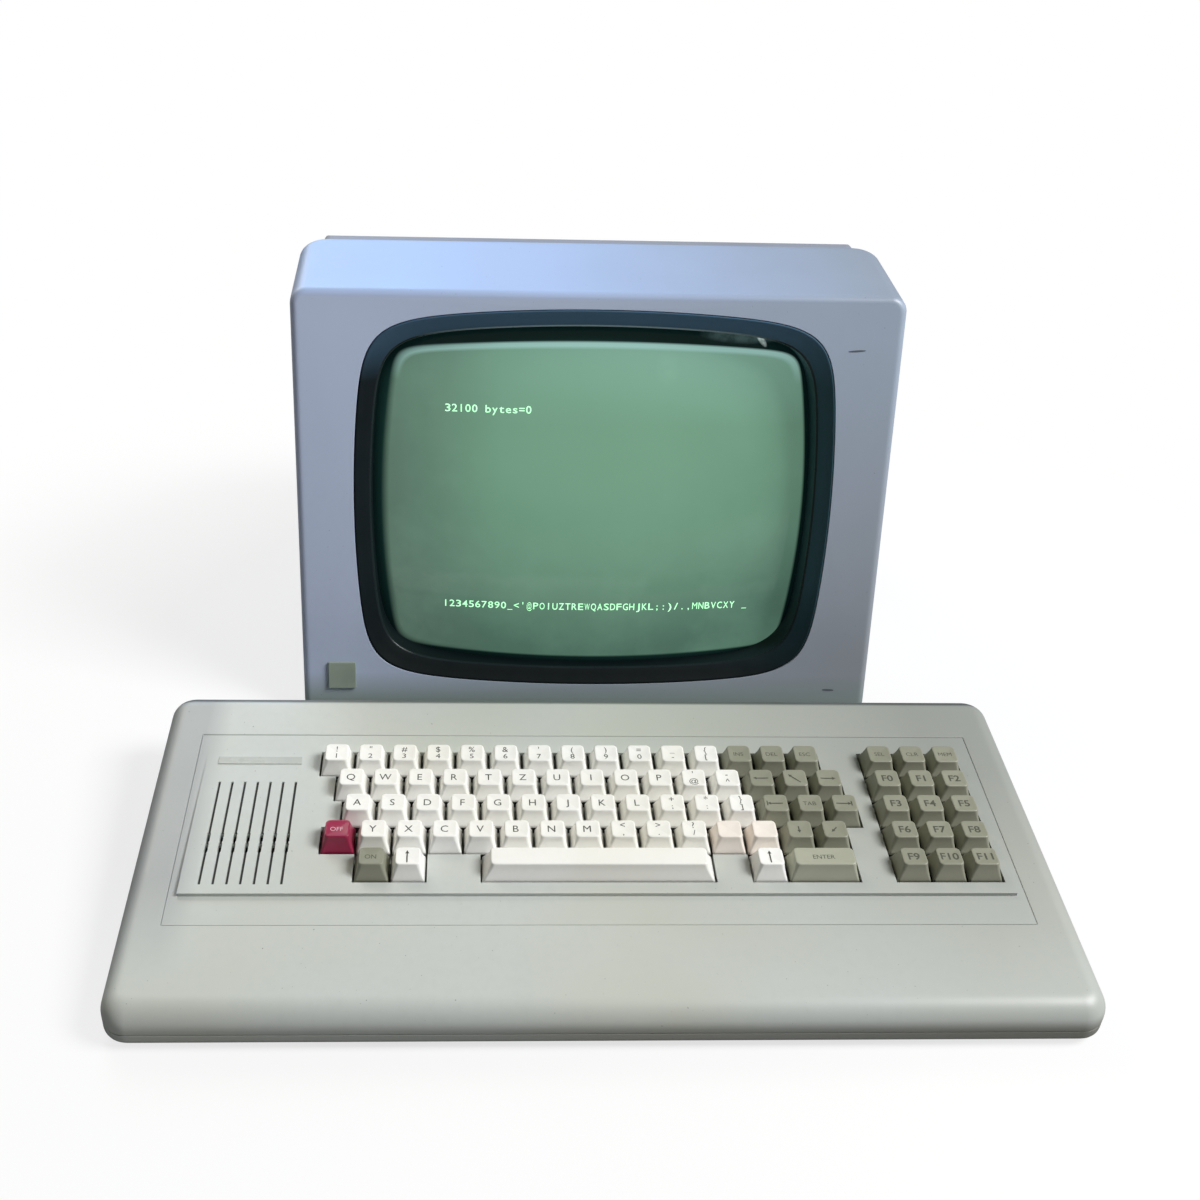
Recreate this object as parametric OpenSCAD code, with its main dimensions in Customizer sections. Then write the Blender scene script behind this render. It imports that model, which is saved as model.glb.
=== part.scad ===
// Vintage home computer: a low wedge-shaped case with the keyboard and the computer inside it,
// and a picture-tube monitor with a raked face that stands close behind it.
// Millimetres. +X is to the user's right, +Y to the rear, +Z up, and the table is Z = 0.

/* [Computer case] */
// Depth of the computer case, front to back
case_d = 222; // [205:1:250]
// Height of the deck over the table, at the front edge before it is rounded
front_h = 24; // [23:0.5:32]
// Slope of the deck in degrees
deck_slope = 6.7; // [6:0.1:9]
// Wall of the computer case
case_wall = 2.5; // [2:0.1:3]
// Radius of the upright corners of the case
case_corner_r = 14; // [12:0.5:20]
// Radius of the long front edge of the deck
front_edge_r = 11; // [7:0.5:12]
// Radius of the rear edge and the side edges of the deck
deck_edge_r = 10; // [5:0.5:11]
// Radius of the edge round the underside
under_edge_r = 4; // [3:0.5:5]
// Height over the table at which the two case halves meet
case_split_h = 9; // [8.5:0.5:11]
// Height of the rubber feet
foot_h = 3; // [2:0.5:4]
// Radius of the rubber feet
foot_r = 6.5; // [5:0.5:8]

/* [Key panel] */
// Deck that is left beside the panel, on its left and on its right
panel_side = 22.5; // [18:0.5:30]
// Distance from the panel's left edge to the middle of the first number key
keys_left = 79.8; // [78:0.1:90]
// Distance from the middle of the last key column to the panel's right edge
keys_right = 19.04; // [18:0.01:30]
// Depth of the panel along the deck
panel_d = 134.5; // [130:0.5:140]
// Thickness of the panel
panel_t = 2.5; // [2:0.1:3]
// Gap round the panel in its opening
panel_gap = 0.25; // [0.15:0.05:0.5]
// Distance along the deck from the panel's rear edge to the line where the raised field starts
field_back = 11.7; // [8:0.1:14]
// Depth of the raised field
field_d = 104.5; // [103:0.5:107]
// Edge of the panel that stays level left and right of the raised field
field_side = 5.1; // [2:0.1:6]
// Slope of the raised field in degrees
key_slope = 5.5; // [5:0.1:6.5]
// Number of speaker grooves
groove_count = 7; // [3:1:7]
// Distance between the speaker grooves
groove_pitch = 7.05; // [6:0.05:7.2]
// Length of the speaker grooves
groove_len = 73; // [60:1:75]
// Width of the speaker grooves
groove_w = 1.4; // [1:0.1:2]

/* [Keys] */
// Distance between key centres
key_pitch = 19.05; // [19:0.05:19.2]
// Height of the key tops over the raised field
key_rise = 9; // [8:0.5:10]
// Distance that a key travels
key_travel = 4; // [3:0.5:4]
// Gap between neighbouring key caps at their feet
key_gap = 1.05; // [0.8:0.05:1.5]
// Gap between the key caps and the opening in the panel
key_opening_gap = 0.9; // [0.6:0.1:1.2]
// Depth of a key top, front to back
key_top_d = 12.5; // [11:0.5:14]
// Slant of a cap's left and right sides, from foot to top
key_side_slant = 2.4; // [1:0.1:3]
// Slant of a cap's rear side
key_rear_slant = 2.25; // [1:0.05:3]
// Wall of a key cap
key_wall = 1.3; // [1:0.1:1.5]
// Width of the square stem under a key cap
stem_w = 5; // [4:0.5:6]
// Play round the stem in its switch
stem_gap = 0.3; // [0.2:0.05:0.5]
// Width of a switch body
switch_w = 13.6; // [12:0.2:13.8]
// Thickness of the steel plate that holds the switches
key_plate_t = 1.2; // [1:0.1:1.5]
// Thickness of every circuit board
board_t = 1.6; // [1.4:0.1:2]

/* [Monitor] */
// Width of the monitor's face, at its foot
monitor_w = 365.8; // [355:0.1:372]
// Angle at which the cabinet's sides spread towards the rear, in degrees
side_flare = 1.2; // [0.5:0.1:2]
// Angle at which the top of the cabinet climbs to the rear, in degrees
top_rise = 3; // [1:0.1:4]
// Radius of the cabinet's upright rear corners, seen from above
rear_corner_r = 12; // [8:0.5:18]
// Length of the monitor's raked face, from bottom edge to top edge
face_len = 267.5; // [264:0.5:280]
// Angle by which the face leans back, in degrees
face_lean = 14.4; // [12:0.1:16]
// Depth of the flat top of the cabinet
top_d = 83; // [76:1:96]
// Depth of the monitor, from the foot of its face to its back wall
monitor_d = 285; // [280:1:315]
// Wall of the monitor cabinet
monitor_wall = 3; // [2.5:0.1:3.5]
// Radius of the cabinet's long corners, seen from the front
monitor_corner_r = 10; // [6:0.5:14]
// Radius of the same corners at the foot of the cabinet
monitor_low_r = 4; // [3:0.5:8]
// Radius of the edge between face and top
monitor_edge_r = 5; // [4:0.5:12]
// Height of the monitor's feet
monitor_foot_h = 4; // [3:0.5:5]
// Gap on the table between the computer case and the monitor, which the plugs need
plug_gap = 42; // [30:1:60]
// Distance of the monitor's middle to the right of the case's middle
monitor_x = 7.5; // [-20:0.5:20]
// Height of the back wall of the monitor
back_h = 172; // [160:1:190]
// Width of the back wall of the monitor
back_w = 262; // [250:1:280]

/* [Screen] */
// Width of the black mask in the face
mask_w = 296.4; // [292:0.1:300]
// Height of the black mask in the face
mask_h = 238; // [234:1:241]
// Distance along the face from its bottom edge to the middle of the screen
screen_up = 138.4; // [136:0.1:141]
// Width of the mask's visible rim
mask_rim = 10; // [8:0.5:11]
// Width of the picture tube's front
tube_w = 283; // [281:0.5:284.5]
// Height of the picture tube's front
tube_h = 224; // [222:0.5:226]
// Radius of the bulge of the screen glass
glass_r = 640; // [560:10:760]
// Distance of the middle of the glass behind the face
glass_recess = 6; // [5:0.5:9]
// Radius of the neck of the tube
neck_r = 14.5; // [13:0.5:15]
// Room behind the tube, for its socket and the board on its neck
tube_back_room = 63; // [58:1:75]
// Width and height of the small square plate under the screen
badge_w = 17.5; // [12:0.5:20]

/* [Controls and sockets] */
// Radius of the two picture knobs
knob_r = 9; // [7:0.5:11]
// Length of the picture knobs
knob_len = 13; // [10:0.5:16]
// Radius of the shafts that carry the knobs
shaft_r = 3; // [2.5:0.1:3.2]
// Play of a knob round its shaft
shaft_gap = 0.05; // [0.03:0.01:0.08]
// Length of a rocker switch's opening
rocker_len = 19; // [17:0.5:21]
// Width of a rocker switch's opening
rocker_w = 12.5; // [11:0.5:14]
// Angle that a rocker turns through, in degrees
rocker_swing = 20; // [14:1:22]
// Radius of the plug sleeve that a round socket takes
socket_r = 7.4; // [7:0.1:7.8]

/* [Hidden] */

$fn = 48;
touch = 0.01;
deep = 20;
far = 250;

// The width of the case follows from the keys: columns count from the first number key
last_column = 18.25;
panel_w = keys_left + last_column * key_pitch + keys_right;
case_w = panel_w + 2 * panel_side;

// Where the two units stand: the whole part is centred over the origin
total_d = case_d + plug_gap + monitor_d + knob_len;
front_y = -total_d / 2;
rear_y = front_y + case_d;
face_foot_y = rear_y + plug_gap;

// The deck is a plane that climbs to the rear
function deck_z(y) = front_h + (y - front_y) * tan(deck_slope);
case_floor = foot_h + case_wall;

// The raised field starts on this line of the deck and slopes a little less than the deck does
panel_shift = 7.6;
panel_mid_y = front_y + case_d / 2 + panel_shift;
field_y = panel_mid_y + (panel_d / 2 - field_back) * cos(deck_slope);
field_z = deck_z(field_y);
field_w = panel_w - 2 * field_side;

// Keys: columns and rows are counted in key pitches from the first number key
key_x0 = -panel_w / 2 + keys_left;
row_back = 11;
key_foot = key_pitch - key_gap;
key_skirt = 1.5;
key_front_slant = key_foot - key_top_d - key_rear_slant;
key_shift = (key_front_slant - key_rear_slant) / 2;
number_columns = [for (k = [0:11]) k];
upper_columns = [for (k = [0:11]) k + 0.5];
home_columns = [for (k = [0:11]) k + 0.75];
lower_columns = [for (k = [0:11]) k + 1.25];
pad_columns = [last_column - 2, last_column - 1, last_column];
space_units = 6.48;
space_side_slant = 4.2;
return_units = 2;
// Each cap: column, row, width in pitches
space_key = [7.5, 5, space_units];
return_cap = [13.75, 5, return_units];
red_cap = [0.25, 4, 1];
stop_cap = [1.25, 5, 1];
left_shift_cap = [2.25, 5, 1];
right_shift_cap = [12.25, 5, 1];
grey_caps = [
    [12, 1, 1], [13, 1, 1], [14, 1, 1], [12.5, 2, 1], [13.5, 2, 1], [14.5, 2, 1],
    [12.75, 3, 1], [13.75, 3, 1], [14.75, 3, 1], [13.25, 4, 1], [14.25, 4, 1]
];
number_caps = [for (c = number_columns) [c, 1, 1]];
upper_caps = [for (c = upper_columns) [c, 2, 1]];
home_caps = [for (c = home_columns) [c, 3, 1]];
lower_caps = [for (c = lower_columns) [c, 4, 1]];
pad_caps = [for (r = [1:5]) for (c = pad_columns) [c, r, 1]];
all_caps = concat(number_caps, upper_caps, home_caps, lower_caps, pad_caps, grey_caps,
    [red_cap, stop_cap, left_shift_cap, right_shift_cap, space_key, return_cap]);
// Stretches of each row that the panel leaves open: first column, last column, row, end widths
open_runs = [
    [0, 14, 1, 1, 1], [0.5, 14.5, 2, 1, 1], [0.75, 14.75, 3, 1, 1], [0.25, 14.25, 4, 1, 1],
    [1.25, 2.25, 5, 1, 1], [7.5, 7.5, 5, space_units, space_units],
    [12.25, 13.75, 5, 1, return_units]
];

// Heights below the raised field, measured square to it
key_plate_top = -(key_skirt + key_travel + 1.5);
switch_flange_t = 0.8;
switch_top = key_plate_top + 4;
switch_bottom = key_plate_top - 8;
stem_foot = switch_top - 5.5;
key_plate_back = 6;
key_plate_front = 1 - field_d;
key_plate_left = -key_foot / 2 - 9;
key_plate_right = key_pitch * pad_columns[2] + key_foot / 2 + 3;
key_plate_hole = 0.1;
key_post_r = 2.5;
key_post_spots = [for (x = [key_plate_left + 4, 140, 290])
    for (y = [key_plate_back - 3, key_plate_front + 2.6]) [x, y]];

// Main board and what it carries
main_board_z = case_floor + 5;
main_board_w = 330;
main_board_d = 150;
main_board_x = 20;
main_board_front = rear_y - case_wall - 4 - main_board_d;
chip_t = 3.5;
chip_len = 18;
chip_w = 8;
chip_pitch = 34;
chip_row = 30;
big_chip = [52, 14];
socket_face_y = rear_y - case_wall;
socket_body = 2 * socket_r + 4;
socket_len = 15;
socket_pitch = 30;
socket_count = 4;
socket_x0 = -70;
socket_z = main_board_z + board_t + socket_body / 2;
case_switch_x = 120;
case_switch_z = case_split_h + rocker_w / 2 + 5.5;

// Case screws stand in the corners and half way along the sides
screw_r = 1.5;
screw_play = 0.1;
key_screw_r = 1.2;
boss_r = 4;
case_screw_spots = [
    for (side = [-1, 1]) for (y = [front_y + 15, front_y + case_d / 2, rear_y - 17])
        [side * (case_w / 2 - 12.5), y]
];

// Speaker grooves lie left of the keys, and the speaker below them
groove_x = -64.5;
groove_back = -14.5 - row_back;
speaker_r = 22;
speaker_h = 17;
speaker_x = groove_x + (groove_count - 1) * groove_pitch / 2;
speaker_y = -59 - row_back;
speaker_slit = 6;
bar_size = [47, 5.5, 0.5];
bar_x = -67.5;

// Monitor, measured from the foot of its face
monitor_top = monitor_foot_h + face_len * cos(face_lean);
split_y = face_len * sin(face_lean) + top_d;
cover_step = 1;
rear_top = monitor_top + top_d * tan(top_rise);
half_rear = monitor_w / 2 + split_y * tan(side_flare);
cover_half = half_rear - rear_corner_r;
rear_shoulder = 12;
face_mid_y = face_foot_y + screen_up * sin(face_lean);
face_mid_z = monitor_foot_h + screen_up * cos(face_lean);
back_y = face_foot_y + monitor_d;
screen_exponent = 9.5;
screen_side_bow = 0.059;
screen_top_bow = 0.077;
mask_gap = 0.3;
mask_depth = 24;
mask_rim_depth = 7;
glass_gap = 0.3;
tube_len = monitor_d - tube_back_room;
badge_spot = [-157.9, -113.4];
tube_rim_front = 26;
tube_rim_back = 44;
funnel_back = 138;
tube_wall = 5;
tube_face_t = 9;
yoke_len = 34;
yoke_front_r = 40;
yoke_back_r = 27;
tube_socket_len = 12;
lug_spot = [tube_w / 2 - 2, tube_h / 2 + 1];
lug_r = 6;
lug_t = 2;
lug_reach = 30;
cover_screw_spots = [
    for (side = [-1, 1]) for (z = [monitor_foot_h + 28, monitor_top - 34])
        [side * (cover_half - 9), z]
];
cover_boss_r = 6.5;
chassis_z = monitor_foot_h + monitor_wall + 6;
chassis_w = 280;
chassis_front = 72;
chassis_d = split_y - chassis_front + 10;
chassis_post_spots = [for (x = [-1, 1]) for (y = [chassis_front + 8, split_y - 14])
    [x * (chassis_w / 2 - 8), y]];
control_z = 128;
knob_spots = [[-52, control_z], [-12, control_z]];
low_row_z = 42;
inlet_spot = [78, low_row_z];
monitor_switch_spot = [30, low_row_z];
video_spot = [-40, low_row_z];
inlet_w = 24;
inlet_h = 16.5;
inlet_depth = 16;
inlet_wall = 2;

// ---- Outlines -------------------------------------------------------------------------------

// Points of a round corner at p, between its neighbours a and b of a counter-clockwise outline
function corner_arc(a, p, b, r, steps) =
    let (u = (a - p) / norm(a - p), v = (b - p) / norm(b - p), spread = acos(u * v),
         middle = p + (u + v) / norm(u + v) * r / sin(spread / 2),
         start = p + u * r / tan(spread / 2) - middle,
         turn = atan2(start[1], start[0]), sweep = 180 - spread)
    [for (i = [0:steps]) middle + r * [cos(turn + sweep * i / steps), sin(turn + sweep * i / steps)]];

function rounded(points, radii, steps = 6) = [
    for (k = [0:len(points) - 1])
        let (n = len(points), r = radii[k])
        each (r > 0
            ? corner_arc(points[(k + n - 1) % n], points[k], points[(k + 1) % n], r, steps)
            : [points[k]])
];

function box_outline(w, d) = [[-w / 2, -d / 2], [w / 2, -d / 2], [w / 2, d / 2], [-w / 2, d / 2]];

// The barrel-sided outline that the screen, the mask and the tube share
function screen_outline(w, h, steps = 64) = [
    for (i = [0:steps - 1])
        let (even = 360 * (i + 0.5) / steps, t = even + 8 * sin(4 * even), n = screen_exponent,
             reach = pow(pow(abs(cos(t)), n) + pow(abs(sin(t)), n), -1 / n),
             x = reach * cos(t), y = reach * sin(t))
        [w / 2 * x * (1 - screen_side_bow * y * y), h / 2 * y * (1 - screen_top_bow * x * x)]
];

// An outline in Y and Z, drawn out along X
module across(w) {
    rotate([90, 0, 90]) translate([0, 0, -w / 2]) linear_extrude(w) children();
}

// An outline in X and Z, drawn out along Y from y0 to y1
module along(y0, y1) {
    translate([0, y1, 0]) rotate([90, 0, 0]) linear_extrude(y1 - y0) children();
}

module block(x0, x1, y0, y1, z0, z1) {
    translate([x0, y0, z0]) cube([x1 - x0, y1 - y0, z1 - z0]);
}

// A frame on the deck, with its origin where the raised field starts and Z square to the deck
module on_deck() {
    translate([0, field_y, field_z]) rotate([deck_slope, 0, 0]) children();
}

// The same frame, with X = 0 at the first number key
module on_panel() {
    translate([key_x0, 0, 0]) on_deck() children();
}

// A frame on the raised field, with X = 0 at the first number key
module on_field() {
    translate([key_x0, field_y, field_z]) rotate([key_slope, 0, 0]) children();
}

// A frame in the middle of the screen, with Z out of the face
module on_face() {
    translate([monitor_x, face_mid_y, face_mid_z]) rotate([90 - face_lean, 0, 0]) children();
}

// A frame on the monitor's back wall, with X seen from the front and Z out of the back
module on_back(spot) {
    translate([monitor_x + spot[0], back_y, spot[1]]) rotate([-90, 0, 0]) children();
}

function cap_centre(cap) = [cap[0] * key_pitch, -row_back - (cap[1] - 1) * key_pitch];

// ---- Computer case --------------------------------------------------------------------------

function case_side(inset) = let (
        drop = inset / cos(deck_slope), y0 = front_y + inset, y1 = rear_y - inset,
        bottom = foot_h + inset, low_r = max(under_edge_r - inset, 0.5))
    rounded(
        [[y0, bottom], [y1, bottom], [y1, deck_z(y1) - drop], [y0, deck_z(y0) - drop]],
        [low_r, low_r, deck_edge_r - inset, front_edge_r - inset]);

module case_block(inset) {
    w = case_w - 2 * inset;
    corner = case_corner_r - inset;
    side = deck_edge_r - inset;
    intersection() {
        across(w) polygon(case_side(inset));
        translate([0, front_y + case_d / 2, 0]) linear_extrude(far)
            polygon(rounded(box_outline(w, case_d - 2 * inset), [corner, corner, corner, corner]));
        translate([0, 0, -inset / cos(deck_slope)]) on_deck() along(-case_d, case_d)
            polygon(rounded(
                [[-w / 2, -far], [w / 2, -far], [w / 2, 0], [-w / 2, 0]],
                [0, 0, side, side]));
    }
}

module over_split() {
    block(-case_w, case_w, front_y - 1, rear_y + 1, case_split_h, far);
}

module under_split() {
    block(-case_w, case_w, front_y - 1, rear_y + 1, -1, case_split_h);
}

module lower_case() color([0.71, 0.72, 0.67]) {
    difference() {
        union() {
            intersection() {
                difference() {
                    case_block(0);
                    case_block(case_wall);
                }
                under_split();
            }
            for (spot = case_screw_spots) translate([spot[0], spot[1], foot_h + 1])
                cylinder(r = boss_r + 1, h = case_split_h - foot_h - 1);
            for (spot = main_board_posts) translate([spot[0], spot[1], case_floor - 1])
                cylinder(r = 3, h = main_board_z - case_floor + 1);
        }
        for (spot = case_screw_spots) translate([spot[0], spot[1], foot_h]) {
            translate([0, 0, -1]) cylinder(r = screw_r + screw_play, h = deep);
            translate([0, 0, -1]) cylinder(r = 3.3, h = 1 + 3);
        }
    }
}

// A slab in the deck, round the middle of the panel
module panel_slab(w, d, z0, z1) {
    mid = (panel_mid_y - field_y) / cos(deck_slope);
    on_deck() block(-w / 2, w / 2, mid - d / 2, mid + d / 2, z0, z1);
}

module upper_case() color([0.77, 0.79, 0.76]) {
    ledge = 4;
    ledge_t = 2;
    difference() {
        union() {
            intersection() {
                difference() {
                    case_block(0);
                    case_block(case_wall);
                }
                over_split();
            }
            intersection() {
                case_block(case_wall / 2);
                over_split();
                union() {
                    for (spot = case_screw_spots) translate([spot[0], spot[1], 0])
                        cylinder(r = boss_r, h = far);
                    panel_slab(panel_w + 6, panel_d + 6, -panel_t - ledge_t, -case_wall / 2);
                }
            }
        }
        panel_slab(panel_w, panel_d, -panel_t, deep);
        panel_slab(panel_w - 2 * ledge, panel_d - 2 * ledge, -panel_t - ledge_t - 1, 0);
        for (spot = case_screw_spots) translate([spot[0], spot[1], 0])
            cylinder(r = screw_r + screw_play, h = case_split_h + 8.5);
        for (k = [0:socket_count - 1])
            translate([socket_x0 + k * socket_pitch, rear_y, socket_z]) rotate([90, 0, 0])
                translate([0, 0, -1]) cylinder(r = socket_r + 0.4, h = case_wall + 2);
        translate([case_switch_x, rear_y, case_switch_z])
            block(-rocker_len / 2 - 1, rocker_len / 2 + 1, -case_wall - 1, 1,
                -rocker_w / 2 - 1, rocker_w / 2 + 1);
    }
}

module key_panel() color([0.78, 0.80, 0.77]) {
    play = 2 * panel_gap;
    difference() {
        union() {
            panel_slab(panel_w - play, panel_d - play, -panel_t, 0);
            on_field() {
                block(-field_w / 2 - key_x0, field_w / 2 - key_x0, -field_d, 0, -panel_t, 0);
                // A plain low bar in the upper left corner
                translate([bar_x, -row_back + 4.7 - bar_size[1], -touch]) cube(bar_size);
                for (spot = key_post_spots) translate([spot[0], spot[1], key_plate_top])
                    cylinder(r = key_post_r, h = -key_plate_top - 1);
            }
            // The ring that holds the speaker
            on_panel() translate([speaker_x, speaker_y, -panel_t - 5]) difference() {
                cylinder(r = speaker_r + 2, h = 5 + touch);
                translate([0, 0, -1]) cylinder(r = speaker_r + 0.2, h = 6);
            }
        }
        key_openings();
        on_field() {
            for (spot = key_post_spots) translate([spot[0], spot[1], key_plate_top - 1])
                cylinder(r = key_screw_r + screw_play, h = 5);
            for (k = [0:groove_count - 1]) translate([groove_x + k * groove_pitch, 0, 0]) {
                block(-groove_w / 2, groove_w / 2, groove_back - groove_len, groove_back, -1, 1);
                for (y = [speaker_y + 0.7, speaker_y - 0.7 - speaker_slit])
                    block(-groove_w / 2 - 0.3, groove_w / 2 + 0.3, y, y + speaker_slit, -deep, 1);
            }
        }
    }
}

// The openings that the key caps stand in: one for each run of caps, and one for the pad
module key_openings() {
    half_d = key_pitch / 2 + 0.1;
    half_w = key_foot / 2 + key_opening_gap;
    on_field() translate([0, -key_shift, -deep]) {
        for (run = open_runs) {
            left = cap_centre([run[0], run[2]]) - [(run[3] - 1) * key_pitch / 2 + half_w, half_d];
            right = cap_centre([run[1], run[2]]) + [(run[4] - 1) * key_pitch / 2 + half_w, half_d];
            translate(left) cube([right[0] - left[0], right[1] - left[1], 2 * deep]);
        }
        low = cap_centre([pad_columns[0], 5]) - [half_w, half_d];
        high = cap_centre([pad_columns[2], 1]) + [half_w, half_d];
        translate(low) cube([high[0] - low[0], high[1] - low[1], 2 * deep]);
    }
}

// ---- Keys -----------------------------------------------------------------------------------

// A block whose four sides slant: foot and top widths, and the Y of its rear and front edges
module slanted_block(foot_w, top_w, foot_y, top_y, z0, z1) {
    intersection() {
        along(-key_pitch, key_pitch)
            polygon([[-foot_w / 2, z0], [foot_w / 2, z0], [top_w / 2, z1], [-top_w / 2, z1]]);
        across(foot_w + 2)
            polygon([[foot_y[0], z0], [foot_y[1], z0], [top_y[1], z1], [top_y[0], z1]]);
    }
}

module key_cap(cap) {
    w = cap[2] * key_pitch - key_gap;
    slant = cap[2] == space_units ? space_side_slant : key_side_slant;
    front = -key_top_d / 2 - key_front_slant;
    rear = key_top_d / 2 + key_rear_slant;
    ceiling = key_rise - 1.4;
    share = (ceiling + key_skirt) / (key_rise + key_skirt);
    translate(cap_centre(cap)) {
        difference() {
            slanted_block(w, w - 2 * slant, [front, rear],
                [-key_top_d / 2, key_top_d / 2], -key_skirt, key_rise);
            slanted_block(w - 2 * key_wall, w - 2 * key_wall - 2 * slant * share,
                [front + key_wall, rear - key_wall],
                [front + key_wall + key_front_slant * share,
                 rear - key_wall - key_rear_slant * share], -key_skirt - touch, ceiling);
        }
        block(-stem_w / 2, stem_w / 2, -key_shift - stem_w / 2, -key_shift + stem_w / 2,
            stem_foot, ceiling + touch);
    }
}

module key_bank(caps) {
    on_field() for (cap = caps) key_cap(cap);
}

white_plastic = [0.93, 0.93, 0.89];
grey_plastic = [0.47, 0.48, 0.42];

module number_keys() color(white_plastic) key_bank(number_caps);
module upper_letter_keys() color(white_plastic) key_bank(upper_caps);
module home_letter_keys() color(white_plastic) key_bank(home_caps);
module lower_letter_keys() color(white_plastic) key_bank(lower_caps);
module function_keys() color(grey_plastic) key_bank(pad_caps);
module red_key() color([0.62, 0.15, 0.24]) key_bank([red_cap]);
module stop_key() color(grey_plastic) key_bank([stop_cap]);
module left_shift_key() color(white_plastic) key_bank([left_shift_cap]);
module space_bar() color(white_plastic) key_bank([space_key]);
module right_shift_key() color(white_plastic) key_bank([right_shift_cap]);
module return_key() color(grey_plastic) key_bank([return_cap]);
module grey_key(index) color(grey_plastic) key_bank([grey_caps[index]]);

module switch_spot(cap) {
    translate(cap_centre(cap)) translate([0, -key_shift, 0]) children();
}

module key_plate_slab(z0, z1) {
    block(key_plate_left, key_plate_right, key_plate_front, key_plate_back, z0, z1);
}

module key_plate() color([0.62, 0.63, 0.64]) {
    half = switch_w / 2 + key_plate_hole;
    on_field() difference() {
        key_plate_slab(key_plate_top - key_plate_t, key_plate_top);
        for (cap = all_caps) switch_spot(cap)
            block(-half, half, -half, half, key_plate_top - 5, key_plate_top + 1);
        for (spot = key_post_spots) translate([spot[0], spot[1], key_plate_top - 5])
            cylinder(r = key_screw_r + screw_play, h = 6);
    }
}

module keyboard_screws() color([0.70, 0.71, 0.73]) {
    on_field() for (spot = key_post_spots)
        translate([spot[0], spot[1], key_plate_top - key_plate_t]) {
            translate([0, 0, -2]) cylinder(r = 2.3, h = 2);
            translate([0, 0, -touch]) cylinder(r = key_screw_r, h = 5);
        }
}

module key_switches() color([0.12, 0.12, 0.13]) {
    well = stem_w / 2 + stem_gap;
    flange = switch_w / 2 + 0.6;
    on_field() for (cap = all_caps) switch_spot(cap) difference() {
        union() {
            block(-switch_w / 2, switch_w / 2, -switch_w / 2, switch_w / 2,
                switch_bottom, switch_top);
            block(-flange, flange, -flange, flange, key_plate_top,
                key_plate_top + switch_flange_t);
        }
        block(-well, well, -well, well, stem_foot - key_travel - 0.5, switch_top + 1);
    }
}

module keyboard_board() color([0.16, 0.36, 0.22]) {
    on_field() key_plate_slab(switch_bottom - board_t, switch_bottom);
}

// ---- Inside the computer case ---------------------------------------------------------------

main_board_posts = [
    for (x = [-1, 1]) for (y = [8, main_board_d - 8])
        [main_board_x + x * (main_board_w / 2 - 8), main_board_front + y]
];

module main_board() color([0.14, 0.40, 0.24]) {
    difference() {
        block(main_board_x - main_board_w / 2, main_board_x + main_board_w / 2,
            main_board_front, main_board_front + main_board_d, main_board_z,
            main_board_z + board_t);
        for (spot = main_board_posts) translate([spot[0], spot[1], 0])
            cylinder(r = 1.5, h = deep);
    }
}

module main_board_chips() color([0.10, 0.10, 0.11]) {
    z = main_board_z + board_t;
    for (col = [0:5]) for (row = [0:2])
        translate([main_board_x - 140 + col * chip_pitch, main_board_front + 22 + row * chip_row, z])
            cube([chip_len, chip_w, chip_t]);
    for (k = [0:1]) translate([main_board_x + 70, main_board_front + 22 + k * chip_pitch, z])
        cube([big_chip[0], big_chip[1], chip_t]);
}

module regulator_heat_sink() color([0.72, 0.73, 0.75]) {
    fin_pitch = 6;
    height = 18;
    translate([main_board_x + 138, main_board_front + 118, main_board_z + board_t]) {
        cube([2, 5 * fin_pitch + 2, height]);
        for (k = [0:5]) translate([2 - touch, k * fin_pitch, 0]) cube([12, 2, height]);
    }
}

// The upright row of pins that joins the keyboard's board to the main board
module keyboard_connector() color([0.14, 0.14, 0.15]) {
    under = switch_bottom - board_t;
    difference() {
        on_field() block(120, 171, -15, -9, under - deep, under);
        block(-case_w / 2, case_w / 2, front_y, rear_y, -deep, main_board_z + board_t);
    }
}

module speaker() color([0.22, 0.22, 0.23]) {
    on_panel() translate([speaker_x, speaker_y, -panel_t]) rotate_extrude() polygon([
        [0, -4], [speaker_r - 4, 0], [speaker_r, 0], [speaker_r, -3], [speaker_r / 2, -9],
        [speaker_r / 2, -speaker_h], [0, -speaker_h]
    ]);
}

// A round five-pin socket: its face looks along Z, and a groove takes the plug's sleeve
module round_socket() {
    pin_circle = 5;
    difference() {
        translate([-socket_body / 2, -socket_body / 2, -socket_len])
            cube([socket_body, socket_body, socket_len]);
        difference() {
            translate([0, 0, -9]) cylinder(r = socket_r, h = 10, $fn = 32);
            translate([0, 0, -10]) cylinder(r = socket_r - 1.3, h = 9, $fn = 32);
        }
        for (k = [0:4]) rotate([0, 0, 180 + k * 45])
            translate([pin_circle, 0, -5]) cylinder(r = 0.9, h = 6, $fn = 8);
    }
}

module rear_sockets() color([0.15, 0.15, 0.16]) {
    for (k = [0:socket_count - 1])
        translate([socket_x0 + k * socket_pitch, socket_face_y, socket_z])
            rotate([-90, 0, 0]) round_socket();
}

module case_feet() color([0.09, 0.09, 0.09]) {
    for (x = [-1, 1]) for (y = [front_y + 28, rear_y - 28])
        translate([x * (case_w / 2 - 42), y, 0]) cylinder(r = foot_r, h = foot_h);
}

module case_screws() color([0.66, 0.67, 0.69]) {
    for (spot = case_screw_spots) translate([spot[0], spot[1], foot_h]) {
        translate([0, 0, 1]) cylinder(r = 2.9, h = 2);
        translate([0, 0, 3 - touch]) cylinder(r = screw_r, h = case_split_h - foot_h + 5);
    }
}

// ---- Rocker switches ------------------------------------------------------------------------

rocker_play = 0.4;
rocker_pin_r = 1.4;
rocker_depth = 15;
rocker_pivot = -3;
rocker_rim = 1.6;

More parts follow.
